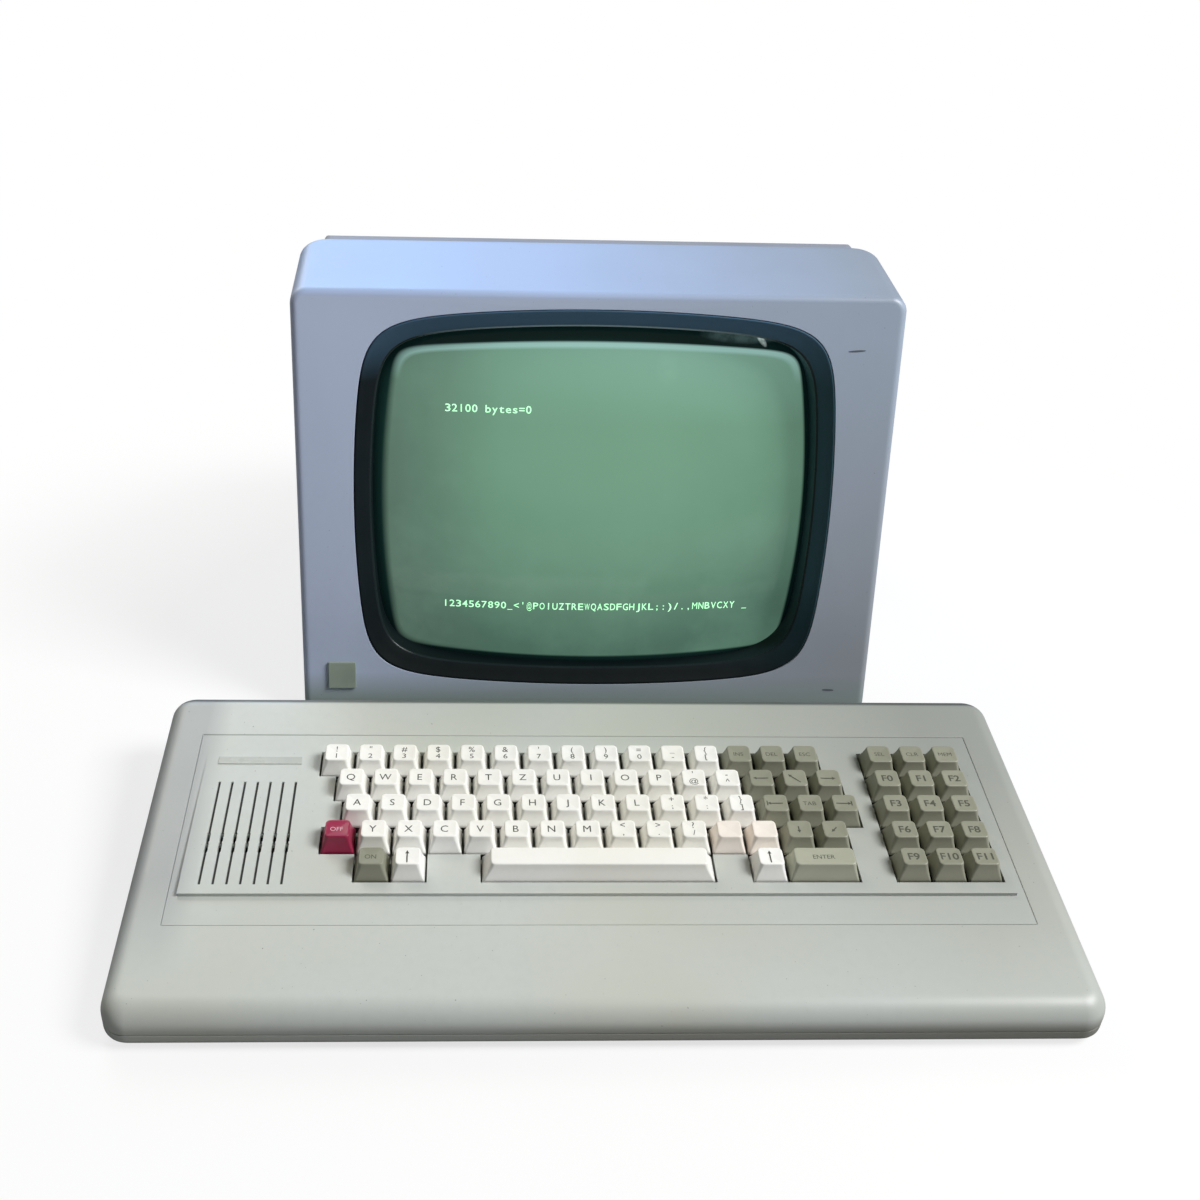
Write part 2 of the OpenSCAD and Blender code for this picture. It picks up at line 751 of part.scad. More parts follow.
// The body of a rocker switch: its rim lies on the wall, and Z points out of the wall
module switch_body(wall) {
    outer_l = rocker_len / 2 + 0.9;
    outer_w = rocker_w / 2 + 0.9;
    difference() {
        union() {
            block(-outer_l, outer_l, -outer_w, outer_w, -rocker_depth, touch);
            block(-outer_l - 1.5, outer_l + 1.5, -outer_w - 1.5, outer_w + 1.5, 0, rocker_rim);
        }
        block(-rocker_len / 2, rocker_len / 2, -rocker_w / 2, rocker_w / 2,
            -rocker_depth + 3, rocker_rim + 1);
        translate([0, 0, rocker_pivot]) rotate([90, 0, 0])
            cylinder(r = rocker_pin_r + 0.06, h = rocker_w + 1, center = true);
    }
}

// The rocker, turned to the end of its swing where its left side is down
module rocker() {
    half = rocker_len / 2 - rocker_play - 0.4;
    wide = rocker_w - 2 * rocker_play;
    translate([0, 0, rocker_pivot]) rotate([0, -rocker_swing / 2, 0]) {
        translate([0, wide / 2, 0]) rotate([90, 0, 0]) linear_extrude(wide)
            polygon([[-half + 1, -4], [half - 1, -4], [half, 3.4], [0, 4.6], [-half, 3.4]]);
        rotate([90, 0, 0]) cylinder(r = rocker_pin_r, h = rocker_w + 0.8, center = true);
    }
}

module at_case_switch() {
    translate([case_switch_x, rear_y, case_switch_z]) rotate([-90, 0, 0]) children();
}

module power_switch_bodies() color([0.11, 0.11, 0.12]) {
    at_case_switch() switch_body(case_wall);
    on_back(monitor_switch_spot) switch_body(monitor_wall);
}

module case_power_rocker() color([0.16, 0.16, 0.17]) at_case_switch() rocker();
module monitor_power_rocker() color([0.16, 0.16, 0.17]) on_back(monitor_switch_spot) rocker();

// ---- Monitor cabinet ------------------------------------------------------------------------

function face_y(z, inset) = (z - monitor_foot_h) * tan(face_lean) + inset / cos(face_lean);

// Height of the top at a distance from the foot of the face, which climbs to the rear
function top_z(y) = monitor_top + (y - face_len * sin(face_lean)) * tan(top_rise);

function cabinet_side(inset, back) = let (
        low = monitor_foot_h + inset, high = monitor_top - inset)
    rounded(
        [[face_y(low, inset), low], [back, low], [back, top_z(back) - inset],
         [face_y(high, inset), top_z(face_y(high, inset)) - inset]],
        [2, 0, 0, monitor_edge_r - inset]);

// The cabinet seen from the front, in X and Z
function cabinet_outline(w, low, high, inset) =
    let (r = monitor_corner_r - inset, low_r = max(monitor_low_r - inset, 0.5))
    rounded([[-w / 2, low], [w / 2, low], [w / 2, high], [-w / 2, high]], [low_r, low_r, r, r]);

// The cabinet with a distance inside its skin: it widens to the rear, where its corners are round
module cabinet_block(inset) {
    rear = split_y - inset;
    r = rear_corner_r - inset;
    slices = concat([[-1, 0]], [for (turn = [0:15:90]) [rear - r + r * sin(turn), r * (1 - cos(turn))]]);
    translate([monitor_x, face_foot_y, 0]) intersection() {
        across(2 * half_rear) polygon(cabinet_side(inset, split_y + 1));
        hull() for (slice = slices) along(slice[0] - touch, slice[0]) polygon(cabinet_outline(
            monitor_w + 2 * (slice[0] * tan(side_flare) - slice[1] - inset),
            monitor_foot_h + inset - touch, top_z(slice[0]) - inset + touch, inset));
    }
}

module cube_to_side(side, length) {
    mirror([side < 0 ? 1 : 0, 0, 0]) cube([half_rear, length, 3]);
}

module monitor_front() color([0.62, 0.66, 0.73]) {
    difference() {
        union() {
            difference() {
                cabinet_block(0);
                cabinet_block(monitor_wall);
                // The opening that the rear cover closes
                translate([monitor_x, face_foot_y, 0])
                    along(split_y - 2 * monitor_wall, split_y + 1) polygon(cabinet_outline(
                        2 * (cover_half - monitor_wall), monitor_foot_h + monitor_wall + cover_step,
                        rear_top - monitor_wall - 2 * cover_step, monitor_wall + cover_step));
            }
            // Bosses for the cover screws, each with a rib to the side wall
            intersection() {
                for (spot = cover_screw_spots)
                    translate([monitor_x + spot[0], face_foot_y + split_y - 28, spot[1]]) {
                        rotate([-90, 0, 0]) cylinder(r = cover_boss_r, h = 28);
                        translate([0, 0, -1.5]) cube_to_side(sign(spot[0]), 28);
                    }
                cabinet_block(1);
            }
            on_face() for (x = [-1, 1]) for (y = [-1, 1])
                translate([x * lug_spot[0], y * lug_spot[1], -tube_rim_back + lug_t + touch])
                    cylinder(r = lug_r, h = tube_rim_back - lug_t - 1);
            for (spot = chassis_post_spots)
                translate([monitor_x + spot[0], face_foot_y + spot[1], monitor_foot_h + 1])
                    cylinder(r = 3.5, h = chassis_z - monitor_foot_h - 1);
        }
        on_face() {
            translate([0, 0, -monitor_wall - 20]) linear_extrude(monitor_wall + 40)
                polygon(screen_outline(mask_w + 2 * mask_gap, mask_h + 2 * mask_gap));
            for (x = [-1, 1]) for (y = [-1, 1])
                translate([x * lug_spot[0], y * lug_spot[1], -tube_rim_back])
                    cylinder(r = screw_r + screw_play, h = 14);
        }
        for (spot = cover_screw_spots)
            translate([monitor_x + spot[0], face_foot_y + split_y - 16, spot[1]])
                rotate([-90, 0, 0]) cylinder(r = screw_r + screw_play, h = 20);
    }
}

module cover_block(inset) {
    half_front = cover_half - inset;
    half_back = back_w / 2 - inset;
    low = monitor_foot_h + cover_step + inset;
    top = rear_top - cover_step - inset;
    back = monitor_d - inset;
    start = split_y - (inset > 0 ? 1 : 0);
    translate([monitor_x, face_foot_y, 0]) intersection() {
        across(monitor_w) polygon(rounded(
            [[start, low], [back, low], [back, back_h - inset], [split_y + rear_shoulder, top],
             [start, top]],
            [0, 4, 9, 20, 0]));
        linear_extrude(2 * far) polygon(rounded(
            [[-half_front, start], [half_front, start], [half_front, split_y + 4],
             [half_back, back], [-half_back, back], [-half_front, split_y + 4]],
            [0, 0, 20, 9, 9, 20]));
        along(0, monitor_d) polygon(cabinet_outline(2 * half_front, low, top, cover_step + inset));
    }
}

module monitor_rear() color([0.55, 0.58, 0.63]) {
    slope = atan2(rear_top - cover_step - back_h, monitor_d - split_y - rear_shoulder);
    difference() {
        union() {
            difference() {
                cover_block(0);
                cover_block(monitor_wall);
            }
            for (spot = cover_screw_spots) intersection() {
                translate([monitor_x + spot[0], face_foot_y + split_y, spot[1]])
                    rotate([-90, 0, 0]) cylinder(r = cover_boss_r, h = 40);
                cover_block(0);
            }
        }
        for (spot = cover_screw_spots)
            translate([monitor_x + spot[0], face_foot_y + split_y, spot[1]])
                rotate([-90, 0, 0]) {
                    translate([0, 0, -1]) cylinder(r = screw_r + screw_play, h = 20);
                    translate([0, 0, 6]) cylinder(r = 4, h = 60);
                }
        // Air slots over the sloping top
        for (k = [0:14])
            translate([monitor_x + (k - 7) * 11, face_foot_y + split_y + rear_shoulder,
                rear_top - cover_step])
                rotate([-slope, 0, 0]) block(-1.5, 1.5, 22, 84, -12, 12);
        // Air slots through the floor
        for (k = [0:8])
            translate([monitor_x + (k - 4) * 14, face_foot_y, 0])
                block(-1.5, 1.5, split_y + 30, split_y + 80, 0, monitor_foot_h + 12);
        for (spot = knob_spots) on_back(spot)
            translate([0, 0, -monitor_wall - 5]) cylinder(r = 4, h = monitor_wall + 10);
        on_back(video_spot) translate([0, 0, -monitor_wall - 5])
            cylinder(r = socket_r + 0.4, h = monitor_wall + 10);
        on_back(monitor_switch_spot) block(-rocker_len / 2 - 1, rocker_len / 2 + 1,
            -rocker_w / 2 - 1, rocker_w / 2 + 1, -monitor_wall - 5, 5);
        on_back(inlet_spot) block(-inlet_w / 2 - inlet_wall - 0.1, inlet_w / 2 + inlet_wall + 0.1,
            -inlet_h / 2 - inlet_wall - 0.1, inlet_h / 2 + inlet_wall + 0.1,
            -monitor_wall - 5, 5);
    }
}

module monitor_feet() color([0.10, 0.10, 0.10]) {
    for (x = [-1, 1]) for (y = [24, monitor_d - 40])
        translate([monitor_x + x * (back_w / 2 - 24), face_foot_y + y, 0])
            cylinder(r = foot_r, h = monitor_foot_h + (y > split_y ? cover_step : 0));
}

module monitor_screws() color([0.66, 0.67, 0.69]) {
    for (spot = cover_screw_spots)
        translate([monitor_x + spot[0], face_foot_y + split_y, spot[1]]) rotate([-90, 0, 0]) {
            translate([0, 0, 6]) cylinder(r = 3.2, h = 2.4);
            translate([0, 0, -12]) cylinder(r = screw_r, h = 18 + touch);
        }
}

module badge_plate() color([0.57, 0.60, 0.55]) {
    on_face() translate([badge_spot[0], badge_spot[1], 0])
        block(-badge_w / 2, badge_w / 2, -badge_w / 2, badge_w / 2, 0, 1.8);
}

// ---- Picture tube ---------------------------------------------------------------------------

module glass_ball(extra) {
    translate([0, 0, -glass_recess - glass_r]) sphere(r = glass_r + extra, $fn = 96);
}

module screen_mask() color([0.07, 0.08, 0.11]) {
    on_face() difference() {
        translate([0, 0, -mask_depth]) linear_extrude(mask_depth)
            polygon(screen_outline(mask_w, mask_h));
        translate([0, 0, -mask_rim_depth]) linear_extrude(deep)
            polygon(screen_outline(mask_w - mask_rim, mask_h - mask_rim));
        translate([0, 0, -far / 2]) linear_extrude(far)
            polygon(screen_outline(mask_w - 2 * mask_rim, mask_h - 2 * mask_rim));
        glass_ball(glass_gap);
    }
}

// The tube's outside, or with an inset its hollow inside, which is open at the end of the neck
module tube_form(inset, face_t, neck_wall) {
    intersection() {
        translate([0, 0, -tube_rim_back]) linear_extrude(tube_rim_back)
            polygon(screen_outline(tube_w - 2 * inset, tube_h - 2 * inset));
        glass_ball(-face_t);
    }
    hull() {
        translate([0, 0, -tube_rim_back - 1]) linear_extrude(1 + touch)
            polygon(screen_outline(tube_w - 2 * inset, tube_h - 2 * inset));
        translate([0, 0, -funnel_back]) cylinder(r = neck_r + 6 - inset, h = 1, $fn = 32);
    }
    translate([0, 0, -tube_len - (inset > 0 ? 1 : 0)])
        cylinder(r = neck_r - neck_wall, h = tube_len - funnel_back + 2);
}

module picture_tube() color([0.30, 0.38, 0.34]) {
    on_face() difference() {
        tube_form(0, 0, 0);
        tube_form(tube_wall, tube_face_t, 2);
    }
}

module tube_band() color([0.60, 0.61, 0.62]) {
    grow = 2 * mask_gap;
    on_face() difference() {
        union() {
            translate([0, 0, -tube_rim_back]) linear_extrude(tube_rim_back - tube_rim_front)
                polygon(screen_outline(tube_w + grow + 3, tube_h + grow + 3));
            for (x = [-1, 1]) for (y = [-1, 1])
                translate([x * lug_spot[0], y * lug_spot[1], -tube_rim_back]) {
                    cylinder(r = lug_r, h = lug_t);
                    rotate([0, 0, atan2(-y, -x)]) block(0, lug_reach, 1 - lug_r, lug_r - 1, 0, lug_t);
                }
        }
        translate([0, 0, -far / 2]) linear_extrude(far)
            polygon(screen_outline(tube_w + grow, tube_h + grow));
        for (x = [-1, 1]) for (y = [-1, 1])
            translate([x * lug_spot[0], y * lug_spot[1], -tube_rim_back - 1])
                cylinder(r = screw_r + screw_play, h = lug_t + 2);
    }
}

module tube_screws() color([0.70, 0.71, 0.72]) {
    on_face() for (x = [-1, 1]) for (y = [-1, 1])
        translate([x * lug_spot[0], y * lug_spot[1], -tube_rim_back]) {
            translate([0, 0, -2.4]) cylinder(r = 3.4, h = 2.4);
            translate([0, 0, -touch]) cylinder(r = screw_r, h = 12);
        }
}

module deflection_yoke() color([0.48, 0.28, 0.16]) {
    on_face() translate([0, 0, -funnel_back - yoke_len - 0.4]) rotate_extrude() polygon([
        [neck_r + 0.3, 0], [yoke_back_r, 0], [yoke_back_r + 3, yoke_len - 10],
        [yoke_front_r, yoke_len], [neck_r + 0.3, yoke_len]
    ]);
}

module neck_board() color([0.55, 0.45, 0.20]) {
    on_face() {
        translate([0, 0, -tube_len - tube_socket_len]) cylinder(r = neck_r + 2,
            h = tube_socket_len);
        block(-34, 34, -30, 30, -tube_len - tube_socket_len - board_t,
            -tube_len - tube_socket_len + touch);
    }
}

// ---- Inside the monitor ---------------------------------------------------------------------

module in_monitor() {
    translate([monitor_x, face_foot_y, 0]) children();
}

module monitor_board() color([0.58, 0.47, 0.22]) {
    in_monitor() block(-chassis_w / 2, chassis_w / 2, chassis_front, chassis_front + chassis_d,
        chassis_z, chassis_z + board_t);
}

module monitor_board_parts() color([0.12, 0.22, 0.45]) {
    back = chassis_front + chassis_d;
    z = chassis_z + board_t;
    in_monitor() {
        for (k = [0:4]) translate([-62 + k * 26, back - 16, z]) cylinder(r = 8, h = 24);
        for (k = [0:5]) translate([-66 + k * 22, back - 36, z]) cube([14, 5, 9]);
        translate([-100, back - 20, z]) cube([26, 3, 30]);
    }
}

module line_transformer() color([0.20, 0.20, 0.22]) {
    in_monitor() translate([chassis_w / 2 - 42, chassis_front + chassis_d - 46,
        chassis_z + board_t]) {
        cube([30, 34, 8]);
        translate([15, 17, 8 - touch]) cylinder(r = 14, h = 36);
    }
}

module mains_transformer() color([0.42, 0.40, 0.38]) {
    core = [24, 52, 44];
    core_windows = [8, 30];
    in_monitor() translate([2 - chassis_w / 2, chassis_front + chassis_d - 58,
        chassis_z + board_t]) {
        difference() {
            cube(core);
            for (y = core_windows) translate([-1, y, 10]) cube([core[0] + 2, 14, core[2] - 20]);
        }
        translate([-touch - 2, 9, 10.5]) cube([core[0] + 4, 34, 1]);
    }
}

module control_pots() color([0.55, 0.56, 0.58]) {
    for (spot = knob_spots) on_back(spot) {
        translate([0, 0, -monitor_wall - 9]) cylinder(r = 8.5, h = 9);
        translate([0, 0, -monitor_wall - touch]) cylinder(r = 3.8, h = monitor_wall + 2);
        translate([0, 0, 2 - 2 * touch]) cylinder(r = shaft_r, h = knob_len - 4);
    }
}

module knob() {
    difference() {
        union() {
            translate([0, 0, 2.5]) cylinder(r = knob_r, h = 2.5);
            translate([0, 0, 5 - touch]) cylinder(r1 = knob_r - 0.8, r2 = knob_r - 1.6,
                h = knob_len - 5);
        }
        translate([0, 0, 1]) cylinder(r = shaft_r + shaft_gap, h = knob_len - 2.5);
        for (k = [0:11]) rotate([0, 0, k * 30])
            translate([knob_r, 0, 5.2]) cylinder(r = 1, h = knob_len, $fn = 16);
        // Pointer groove
        block(-0.5, 0.5, 2, knob_r, knob_len - 0.8, knob_len + 1);
    }
}

module brightness_knob() color([0.13, 0.13, 0.14]) on_back(knob_spots[0]) knob();
module contrast_knob() color([0.13, 0.13, 0.14]) on_back(knob_spots[1]) knob();

module mains_inlet() color([0.10, 0.10, 0.11]) {
    outer_w = inlet_w / 2 + inlet_wall;
    outer_h = inlet_h / 2 + inlet_wall;
    on_back(inlet_spot) {
        difference() {
            union() {
                block(-outer_w, outer_w, -outer_h, outer_h, -inlet_depth, touch);
                block(-outer_w - 3, outer_w + 3, -outer_h - 2, outer_h + 2, 0, 2);
            }
            block(-inlet_w / 2, inlet_w / 2, -inlet_h / 2, inlet_h / 2,
                -inlet_depth + 2, 3);
        }
        for (blade = [[-7, 1], [7, 1], [0, -3]]) translate([blade[0], blade[1], 0])
            block(-1, 1, -2, 2, -inlet_depth + 1, -1);
    }
}

module video_inlet() color([0.15, 0.15, 0.16]) {
    on_back(video_spot) translate([0, 0, -monitor_wall]) round_socket();
}

lower_case();
upper_case();
key_panel();
key_plate();
key_switches();
keyboard_board();
main_board();
main_board_chips();
regulator_heat_sink();
speaker();
rear_sockets();
keyboard_screws();
keyboard_connector();
case_feet();
case_screws();
power_switch_bodies();
case_power_rocker();
monitor_front();
monitor_rear();
screen_mask();
picture_tube();
tube_band();
tube_screws();
deflection_yoke();
neck_board();
monitor_board();
monitor_board_parts();
line_transformer();
mains_transformer();
control_pots();
brightness_knob();
contrast_knob();
monitor_power_rocker();
mains_inlet();
video_inlet();
badge_plate();
monitor_feet();
monitor_screws();
number_keys();
upper_letter_keys();
home_letter_keys();
lower_letter_keys();
function_keys();
red_key();
stop_key();
left_shift_key();
space_bar();
right_shift_key();
return_key();
grey_key(0);  // grey_key_1a
grey_key(1);  // grey_key_1b
grey_key(2);  // grey_key_1c
grey_key(3);  // grey_key_2a
grey_key(4);  // grey_key_2b
grey_key(5);  // grey_key_2c
grey_key(6);  // grey_key_3a
grey_key(7);  // grey_key_3b
grey_key(8);  // grey_key_3c
grey_key(9);  // grey_key_4a
grey_key(10);  // grey_key_4b
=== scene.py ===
# %% [markdown]
# # A vintage home computer, dressed over its CAD frame
# The computer is a low wedge of cream-grey plastic with its keyboard built in, and a monitor with
# a raked face stands close behind it. The CAD frame gives every piece its place and size. This
# lesson keeps those places, rebuilds the shells whose soft edges catch the light, and gives every
# piece a finish.

# %% Load the frame
import math
import bmesh
import bpy
from mathutils import Matrix, Vector


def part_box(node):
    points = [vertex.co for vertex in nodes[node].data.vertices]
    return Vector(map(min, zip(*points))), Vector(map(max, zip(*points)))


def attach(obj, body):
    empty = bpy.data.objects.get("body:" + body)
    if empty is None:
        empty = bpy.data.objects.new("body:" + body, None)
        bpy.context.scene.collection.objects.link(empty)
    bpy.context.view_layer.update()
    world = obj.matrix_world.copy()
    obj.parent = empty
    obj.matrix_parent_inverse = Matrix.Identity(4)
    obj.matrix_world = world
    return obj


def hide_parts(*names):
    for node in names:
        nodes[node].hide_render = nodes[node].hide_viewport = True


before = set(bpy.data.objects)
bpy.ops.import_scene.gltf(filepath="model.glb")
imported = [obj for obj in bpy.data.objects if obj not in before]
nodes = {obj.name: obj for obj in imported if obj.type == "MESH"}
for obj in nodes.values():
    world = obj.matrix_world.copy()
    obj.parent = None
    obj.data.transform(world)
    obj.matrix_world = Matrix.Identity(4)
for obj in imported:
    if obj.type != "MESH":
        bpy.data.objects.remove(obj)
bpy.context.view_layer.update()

MM = 0.001
ROOT = "case_and_monitor"

# %% [markdown]
# ## Driving sizes
# A few sizes steer everything that is built here. What the frame can tell is read from its boxes,
# and the rest are the slopes and steps of the case, in millimetres and degrees.

# %% Driving sizes
DECK_SLOPE = math.radians(6.7)
KEY_SLOPE = math.radians(5.5)
FACE_LEAN = math.radians(14.4)
FRONT_H = 24 * MM
PITCH = 19.05 * MM
FIRST_KEY_IN = 79.8 * MM
FIELD_BACK = 11.7 * MM
ROW_BACK = 11 * MM
PANEL_GAP = 0.25 * MM

case_low, case_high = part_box("lower_case")
panel_low, panel_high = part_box("key_panel")
cabinet_low, cabinet_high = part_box("monitor_front")
front_y, rear_y = case_low[1], case_high[1]
split_z = case_high[2]
foot_z = case_low[2]


def deck_z(y):
    return FRONT_H + (y - front_y) * math.tan(DECK_SLOPE)


field_y = panel_high[1] - FIELD_BACK * math.cos(DECK_SLOPE) + PANEL_GAP
first_key = Vector((panel_low[0] + FIRST_KEY_IN - PANEL_GAP, field_y, deck_z(field_y)))
field_frame = Matrix.Translation(first_key) @ Matrix.Rotation(KEY_SLOPE, 4, "X")
print("first key column at", [round(c / MM, 1) for c in first_key])

# %% [markdown]
# ## The camera
# The camera looks from in front and above, from a little left of the middle. Its lens is shifted
# slightly sideways, so that the computer fills a square frame without leaning.

# %% Camera
CAMERA_AT = Vector((-71.4, -703.4, 527.5)) * MM
CAMERA_AIM = Vector((-41.4, 0, 79.2)) * MM
CAMERA_ROLL = math.radians(1.74)
SENSOR_W, LENS, SIDE_SHIFT = 36, 39.58, 0.0722

camera_data = bpy.data.cameras.new("camera")
camera_data.sensor_width = SENSOR_W
camera_data.lens = LENS
camera_data.shift_x = SIDE_SHIFT
camera_data.clip_start = 50 * MM


def put(name, data):
    """Puts a camera, lamp, mesh or text into the scene as an object."""
    made = bpy.data.objects.new(name, data)
    bpy.context.scene.collection.objects.link(made)
    return made


def facing(at, aim):
    """The placing of a camera or a lamp that stands at one point and looks at another."""
    turn = (Vector(aim) - Vector(at)).to_track_quat("-Z", "Y").to_matrix().to_4x4()
    return Matrix.Translation(Vector(at)) @ turn


camera = put("camera", camera_data)
camera.matrix_world = facing(CAMERA_AT, CAMERA_AIM) @ Matrix.Rotation(CAMERA_ROLL, 4, "Z")
bpy.context.scene.camera = camera
print("camera", round((CAMERA_AIM - CAMERA_AT).length, 3), "m from its aim")

# %% [markdown]
# ## Finishes
# Moulded plastic is never one flat colour. It has a fine grain from the mould, drifts a little in
# colour where the sun has yellowed it, and shines unevenly where hands have polished it. One
# helper makes such a finish from noise at several scales, and the same helper serves metal and
# rubber with other numbers. Constant values sit on the shader itself, so that they survive export.

# %% Colour and node helpers
finishes = {}


def srgb(r, g, b):
    """A linear colour from the everyday 0 to 255 numbers."""
    def lin(c):
        c /= 255
        return c / 12.92 if c <= 0.04045 else ((c + 0.055) / 1.055) ** 2.4
    return lin(r), lin(g), lin(b), 1


def darker(colour, share):
    return tuple(c * share for c in colour[:3]) + (1,)


class Graph:
    """A short hand for building the nodes of a finish, or of the sky."""

    def __init__(self, name, kind=bpy.data.materials, shader="Principled BSDF"):
        self.made = finishes[name] = kind.new(name)
        self.made.use_nodes = True
        self.tree = self.made.node_tree
        self.shader = self.tree.nodes[shader]

    def add(self, kind, **values):
        node = self.tree.nodes.new(kind)
        for key, value in values.items():
            if hasattr(node, key) and key not in node.inputs:
                setattr(node, key, value)
            else:
                node.inputs[key].default_value = value
        return node

    def link(self, source, target):
        self.tree.links.new(source, target)

    def drive(self, socket, source):
        """Feeds one socket of the shader from another node."""
        self.link(source, self.shader.inputs[socket])

    def constant(self, socket, value):
        """Sets a value on the shader's own socket."""
        self.shader.inputs[socket].default_value = value

    def where(self):
        """Object coordinates, in metres."""
        if not hasattr(self, "_where"):
            self._where = self.add("ShaderNodeTexCoord").outputs["Object"]
        return self._where

    def noise(self, size, detail=2, rough=0.5):
        """Noise whose blotches are about size metres across."""
        node = self.add("ShaderNodeTexNoise", Scale=1 / size, Detail=detail, Roughness=rough)
        self.link(self.where(), node.inputs["Vector"])
        return node.outputs["Fac"]

    def ramp(self, source, low, high, start=0.35, end=0.65):
        """Turns the part of source from start to end into a run from low to high."""
        node = self.add("ShaderNodeMapRange", **{"From Min": start, "From Max": end,
                                                 "To Min": low, "To Max": high})
        self.link(source, node.inputs["Value"])
        return node.outputs["Result"]

    def mix(self, amount, first, second):
        node = self.add("ShaderNodeMix", data_type="RGBA")
        for socket, value in ((0, amount), (6, first), (7, second)):
            if isinstance(value, (int, float, tuple)):
                node.inputs[socket].default_value = value
            else:
                self.link(value, node.inputs[socket])
        return node.outputs[2]

    def sums(self, operation, *values):
        node = self.add("ShaderNodeMath", operation=operation)
        for socket, value in zip(node.inputs, values):
            if isinstance(value, (int, float)):
                socket.default_value = value
            else:
                self.link(value, socket)
        return node.outputs[0]

    def times(self, *values):
        return self.sums("MULTIPLY", *values)

    def squares(self, first, second):
        """The sum of two squares."""
        return self.sums("ADD", self.times(first, first), self.times(second, second))

    def along(self, axis, start, end):
        """Runs from 0 to 1 along one axis of the object, between two places in metres."""
        if not hasattr(self, "_axes"):
            self._axes = self.add("ShaderNodeSeparateXYZ")
            self.link(self.where(), self._axes.inputs["Vector"])
        return self.ramp(self._axes.outputs[axis], 0.0, 1.0, start, end)

    def bump(self, source, depth):
        node = self.add("ShaderNodeBump", Strength=1.0, Distance=depth)
        self.link(source, node.inputs["Height"])
        self.drive("Normal", node.outputs["Normal"])


print("cream is", [round(c, 2) for c in srgb(201, 206, 202)], "as a linear colour")

# %% The finish helper
DRIFT_RANGE, SECOND_TONE = (0.38, 0.66), 0.86
MOTTLE_GRAINS, MOTTLE_RANGE, MOTTLE_MOST, MOTTLE_TONE = 9, (0.45, 0.75), 0.45, 0.93
SPECK_SIZE, SPECK_SOFT, SPECK_TONE = 1.4 * MM, 0.02, 0.35


def moulded(name, colour, tint=None, drift=0.09, grain=0.7, grain_depth=0.03, shine=(0.42, 0.56),
            metal=0.0, speck=0.0, painted_light=None, specular=0.5, glow=0.0):
    """A finish with slow drift of colour, grain in millimetres, uneven shine, and painted light
    and shade where given.
    """
    g = Graph(name)
    colour = srgb(*colour)
    second = srgb(*tint) if tint else darker(colour, SECOND_TONE)
    body = g.mix(g.ramp(g.noise(drift, 3), 0, 1, *DRIFT_RANGE), colour, second)
    mottle = g.ramp(g.noise(grain * MOTTLE_GRAINS * MM, 4, 0.6), 0, MOTTLE_MOST, *MOTTLE_RANGE)
    body = g.mix(mottle, body, darker(colour, MOTTLE_TONE))
    # Painted light and shade, where a finish has them.
    if painted_light:
        body = painted_light(g, body)
    if speck:
        spots = g.ramp(g.noise(SPECK_SIZE, 1), 0, 1, speck, speck + SPECK_SOFT)
        body = g.mix(spots, body, darker(colour, SPECK_TONE))
    g.drive("Base Color", body)
    g.drive("Roughness", g.ramp(g.noise(drift / 3, 4, 0.65), *shine))
    g.bump(g.noise(grain * MM, 2), grain_depth * MM)
    g.constant("Metallic", metal)
    g.constant("Specular IOR Level", specular)
    # A glow makes a painted highlight shine; only the mask's lip has one.
    if glow:
        g.drive("Emission Color", body)
        g.constant("Emission Strength", glow)


def finish(material, *names):
    """Puts one finish on CAD nodes that keep their own shape."""
    for name in names:
        mesh_object = nodes[name]
        if not mesh_object.material_slots:
            mesh_object.data.materials.append(finishes[material])
        for slot in mesh_object.material_slots:
            slot.material = finishes[material]


print("plastic drifts in colour, has a grain, and shines unevenly")

# %% Painted light and shade on the large mouldings
# Each painted shade: a run along one axis and along another, in metres, its strength, and its
# colour.
CASE_PAINTED_SHADE = {
    "painted shade at the right rear": (("X", 0, 0.2), ("Y", -0.36, -0.12), 0.6, (120, 124, 124)),
    "painted shade at the left edge": (("X", -0.208, -0.222), ("Y", -0.26, -0.2), 0.9, (168, 172, 172)),
    "painted shadow along the rear edge": (("Y", -0.069, -0.067), ("Z", 0.0435, 0.0455), 0.75, (58, 66, 68)),
    "painted shade at the foot": (("Z", 0.018, 0.011), ("X", -0.35, 0.25), 0.9, (126, 126, 116)),
}
# Runs, in metres, of the painted light and shade on the monitor, its mask and the mask's lip.
MONITOR_HEIGHT, HIGHER_BLUE = ("Z", 0.04, 0.24), 0.8
MONITOR_FOOT = ("Z", 0.03, 0.012)
MONITOR_TOP = ("Z", 0.2585, 0.2625)
WINDOW_TO_WALL, TOP_TO_WALL = ("X", -0.15, 0.19), ("X", -0.02, 0.2)
MASK_TO_WALL, MASK_FOOT, MASK_TOP = ("X", -0.12, 0.15), ("Z", 0.03, 0.09), ("Z", 0.21, 0.255)
LIP_TOP = ("Z", 0.235, 0.25)


def painted_shade_case(g, body):
    """Painted shade: darker at its right rear, along its left edge and towards its foot, with a
    painted shadow line along its rear edge.
    """
    for one, other, strength, colour in CASE_PAINTED_SHADE.values():
        mark = g.times(g.along(*one), g.along(*other))
        body = g.mix(g.times(mark, strength), body, srgb(*colour))
    return body


